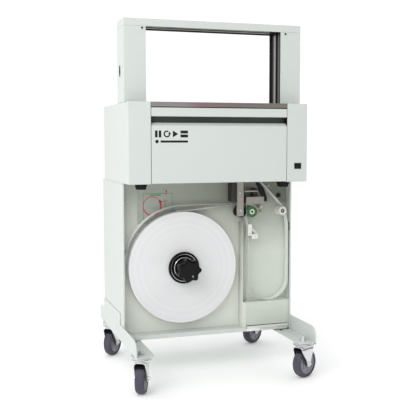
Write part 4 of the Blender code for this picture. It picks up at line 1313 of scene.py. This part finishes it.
piece("dark_fittings", dark_bits, "frame", black_moulding)

blocks("tension_block", [
    ((0.1700, -0.0800, 0.6200), (0.1860, -0.0560, 0.6480)),
], cast, 0.001)


# ---------------------------------------------------------------- threading plate
# A thin film-faced plate behind the reel shows how to thread the band, as drawn shapes
# only: a red open ring with its arrow, a red run line and a green bar.

red_ink, green_ink = (
    clouded(f"{colour} ink", 0.3, (300.0,), tones, (0.4, 0.15, 90.0))
    for colour, tones in (
        ("red", ((0.50, 0.02, 0.05), (0.66, 0.05, 0.09))),
        ("green", ((0.05, 0.30, 0.12), (0.10, 0.40, 0.18))),
    )
)
label = clouded(
    "label film", 0.5, (20.0, 4.0),
    ((0.34, 0.375, 0.33), (0.43, 0.46, 0.40)), (0.22, 0.15, 50.0),
)

plate = bmesh.new()
slab(plate, (-0.2500, plate_y - 0.0008, 0.5320), (-0.1080, plate_y, 0.6545), 0)
face = upright(plate_y - 0.0008)
frame_line = [(-0.2286, 0.5400), (-0.2286, 0.6360), (-0.1246, 0.6360), (-0.1246, 0.5400)]
for start, end in zip(frame_line, frame_line[1:]):
    push(plate, bar(start, end, 0.0009), face, 0.0002, 1)
for start, end, inner, outer in (
    (50, 200, 0.0308, 0.0332), (200, 290, 0.0300, 0.0338), (290, 385, 0.0292, 0.0344),
):
    push(plate, ring_sector((-0.197, 0.593), inner, outer, start, end), face, 0.0002, 2)
for outline in (
    [(-0.1500, 0.6400), (-0.1420, 0.6400), (-0.1460, 0.6500)],
    bar((-0.1460, 0.6300), (-0.1460, 0.6400), 0.0022),
    bar((-0.1520, 0.6160), (-0.1470, 0.5740), 0.0018),
    bar((-0.1700, 0.6060), (-0.1400, 0.6120), 0.0014),
    [(-0.1740, 0.6160), (-0.1600, 0.6080), (-0.1710, 0.6020)],
):
    push(plate, outline, face, 0.0002, 2)
push(plate, oblong(-0.2040, 0.6285, -0.1650, 0.6330), face, 0.0002, 3)
piece("threading_plate", plate, "frame", [label, ink, red_ink, green_ink])


# ---------------------------------------------------------------- inside and behind
# The electrical box is folded zinc-coated sheet. It sits behind the mounting plate, and
# four screws at the corners of its rear face hold its lid.

eased("electrical_box", "electrical_box_sheet", zinc, "frame", 0.0015, 3)
screws("electrical_box_screws", "frame", [
    ((across, 0.190, height), OUT_BACK)
    for across in (-0.140, 0.080) for height in (0.210, 0.410)
], 0.0030, zinc)


bpy.data.objects.remove(screw_head)
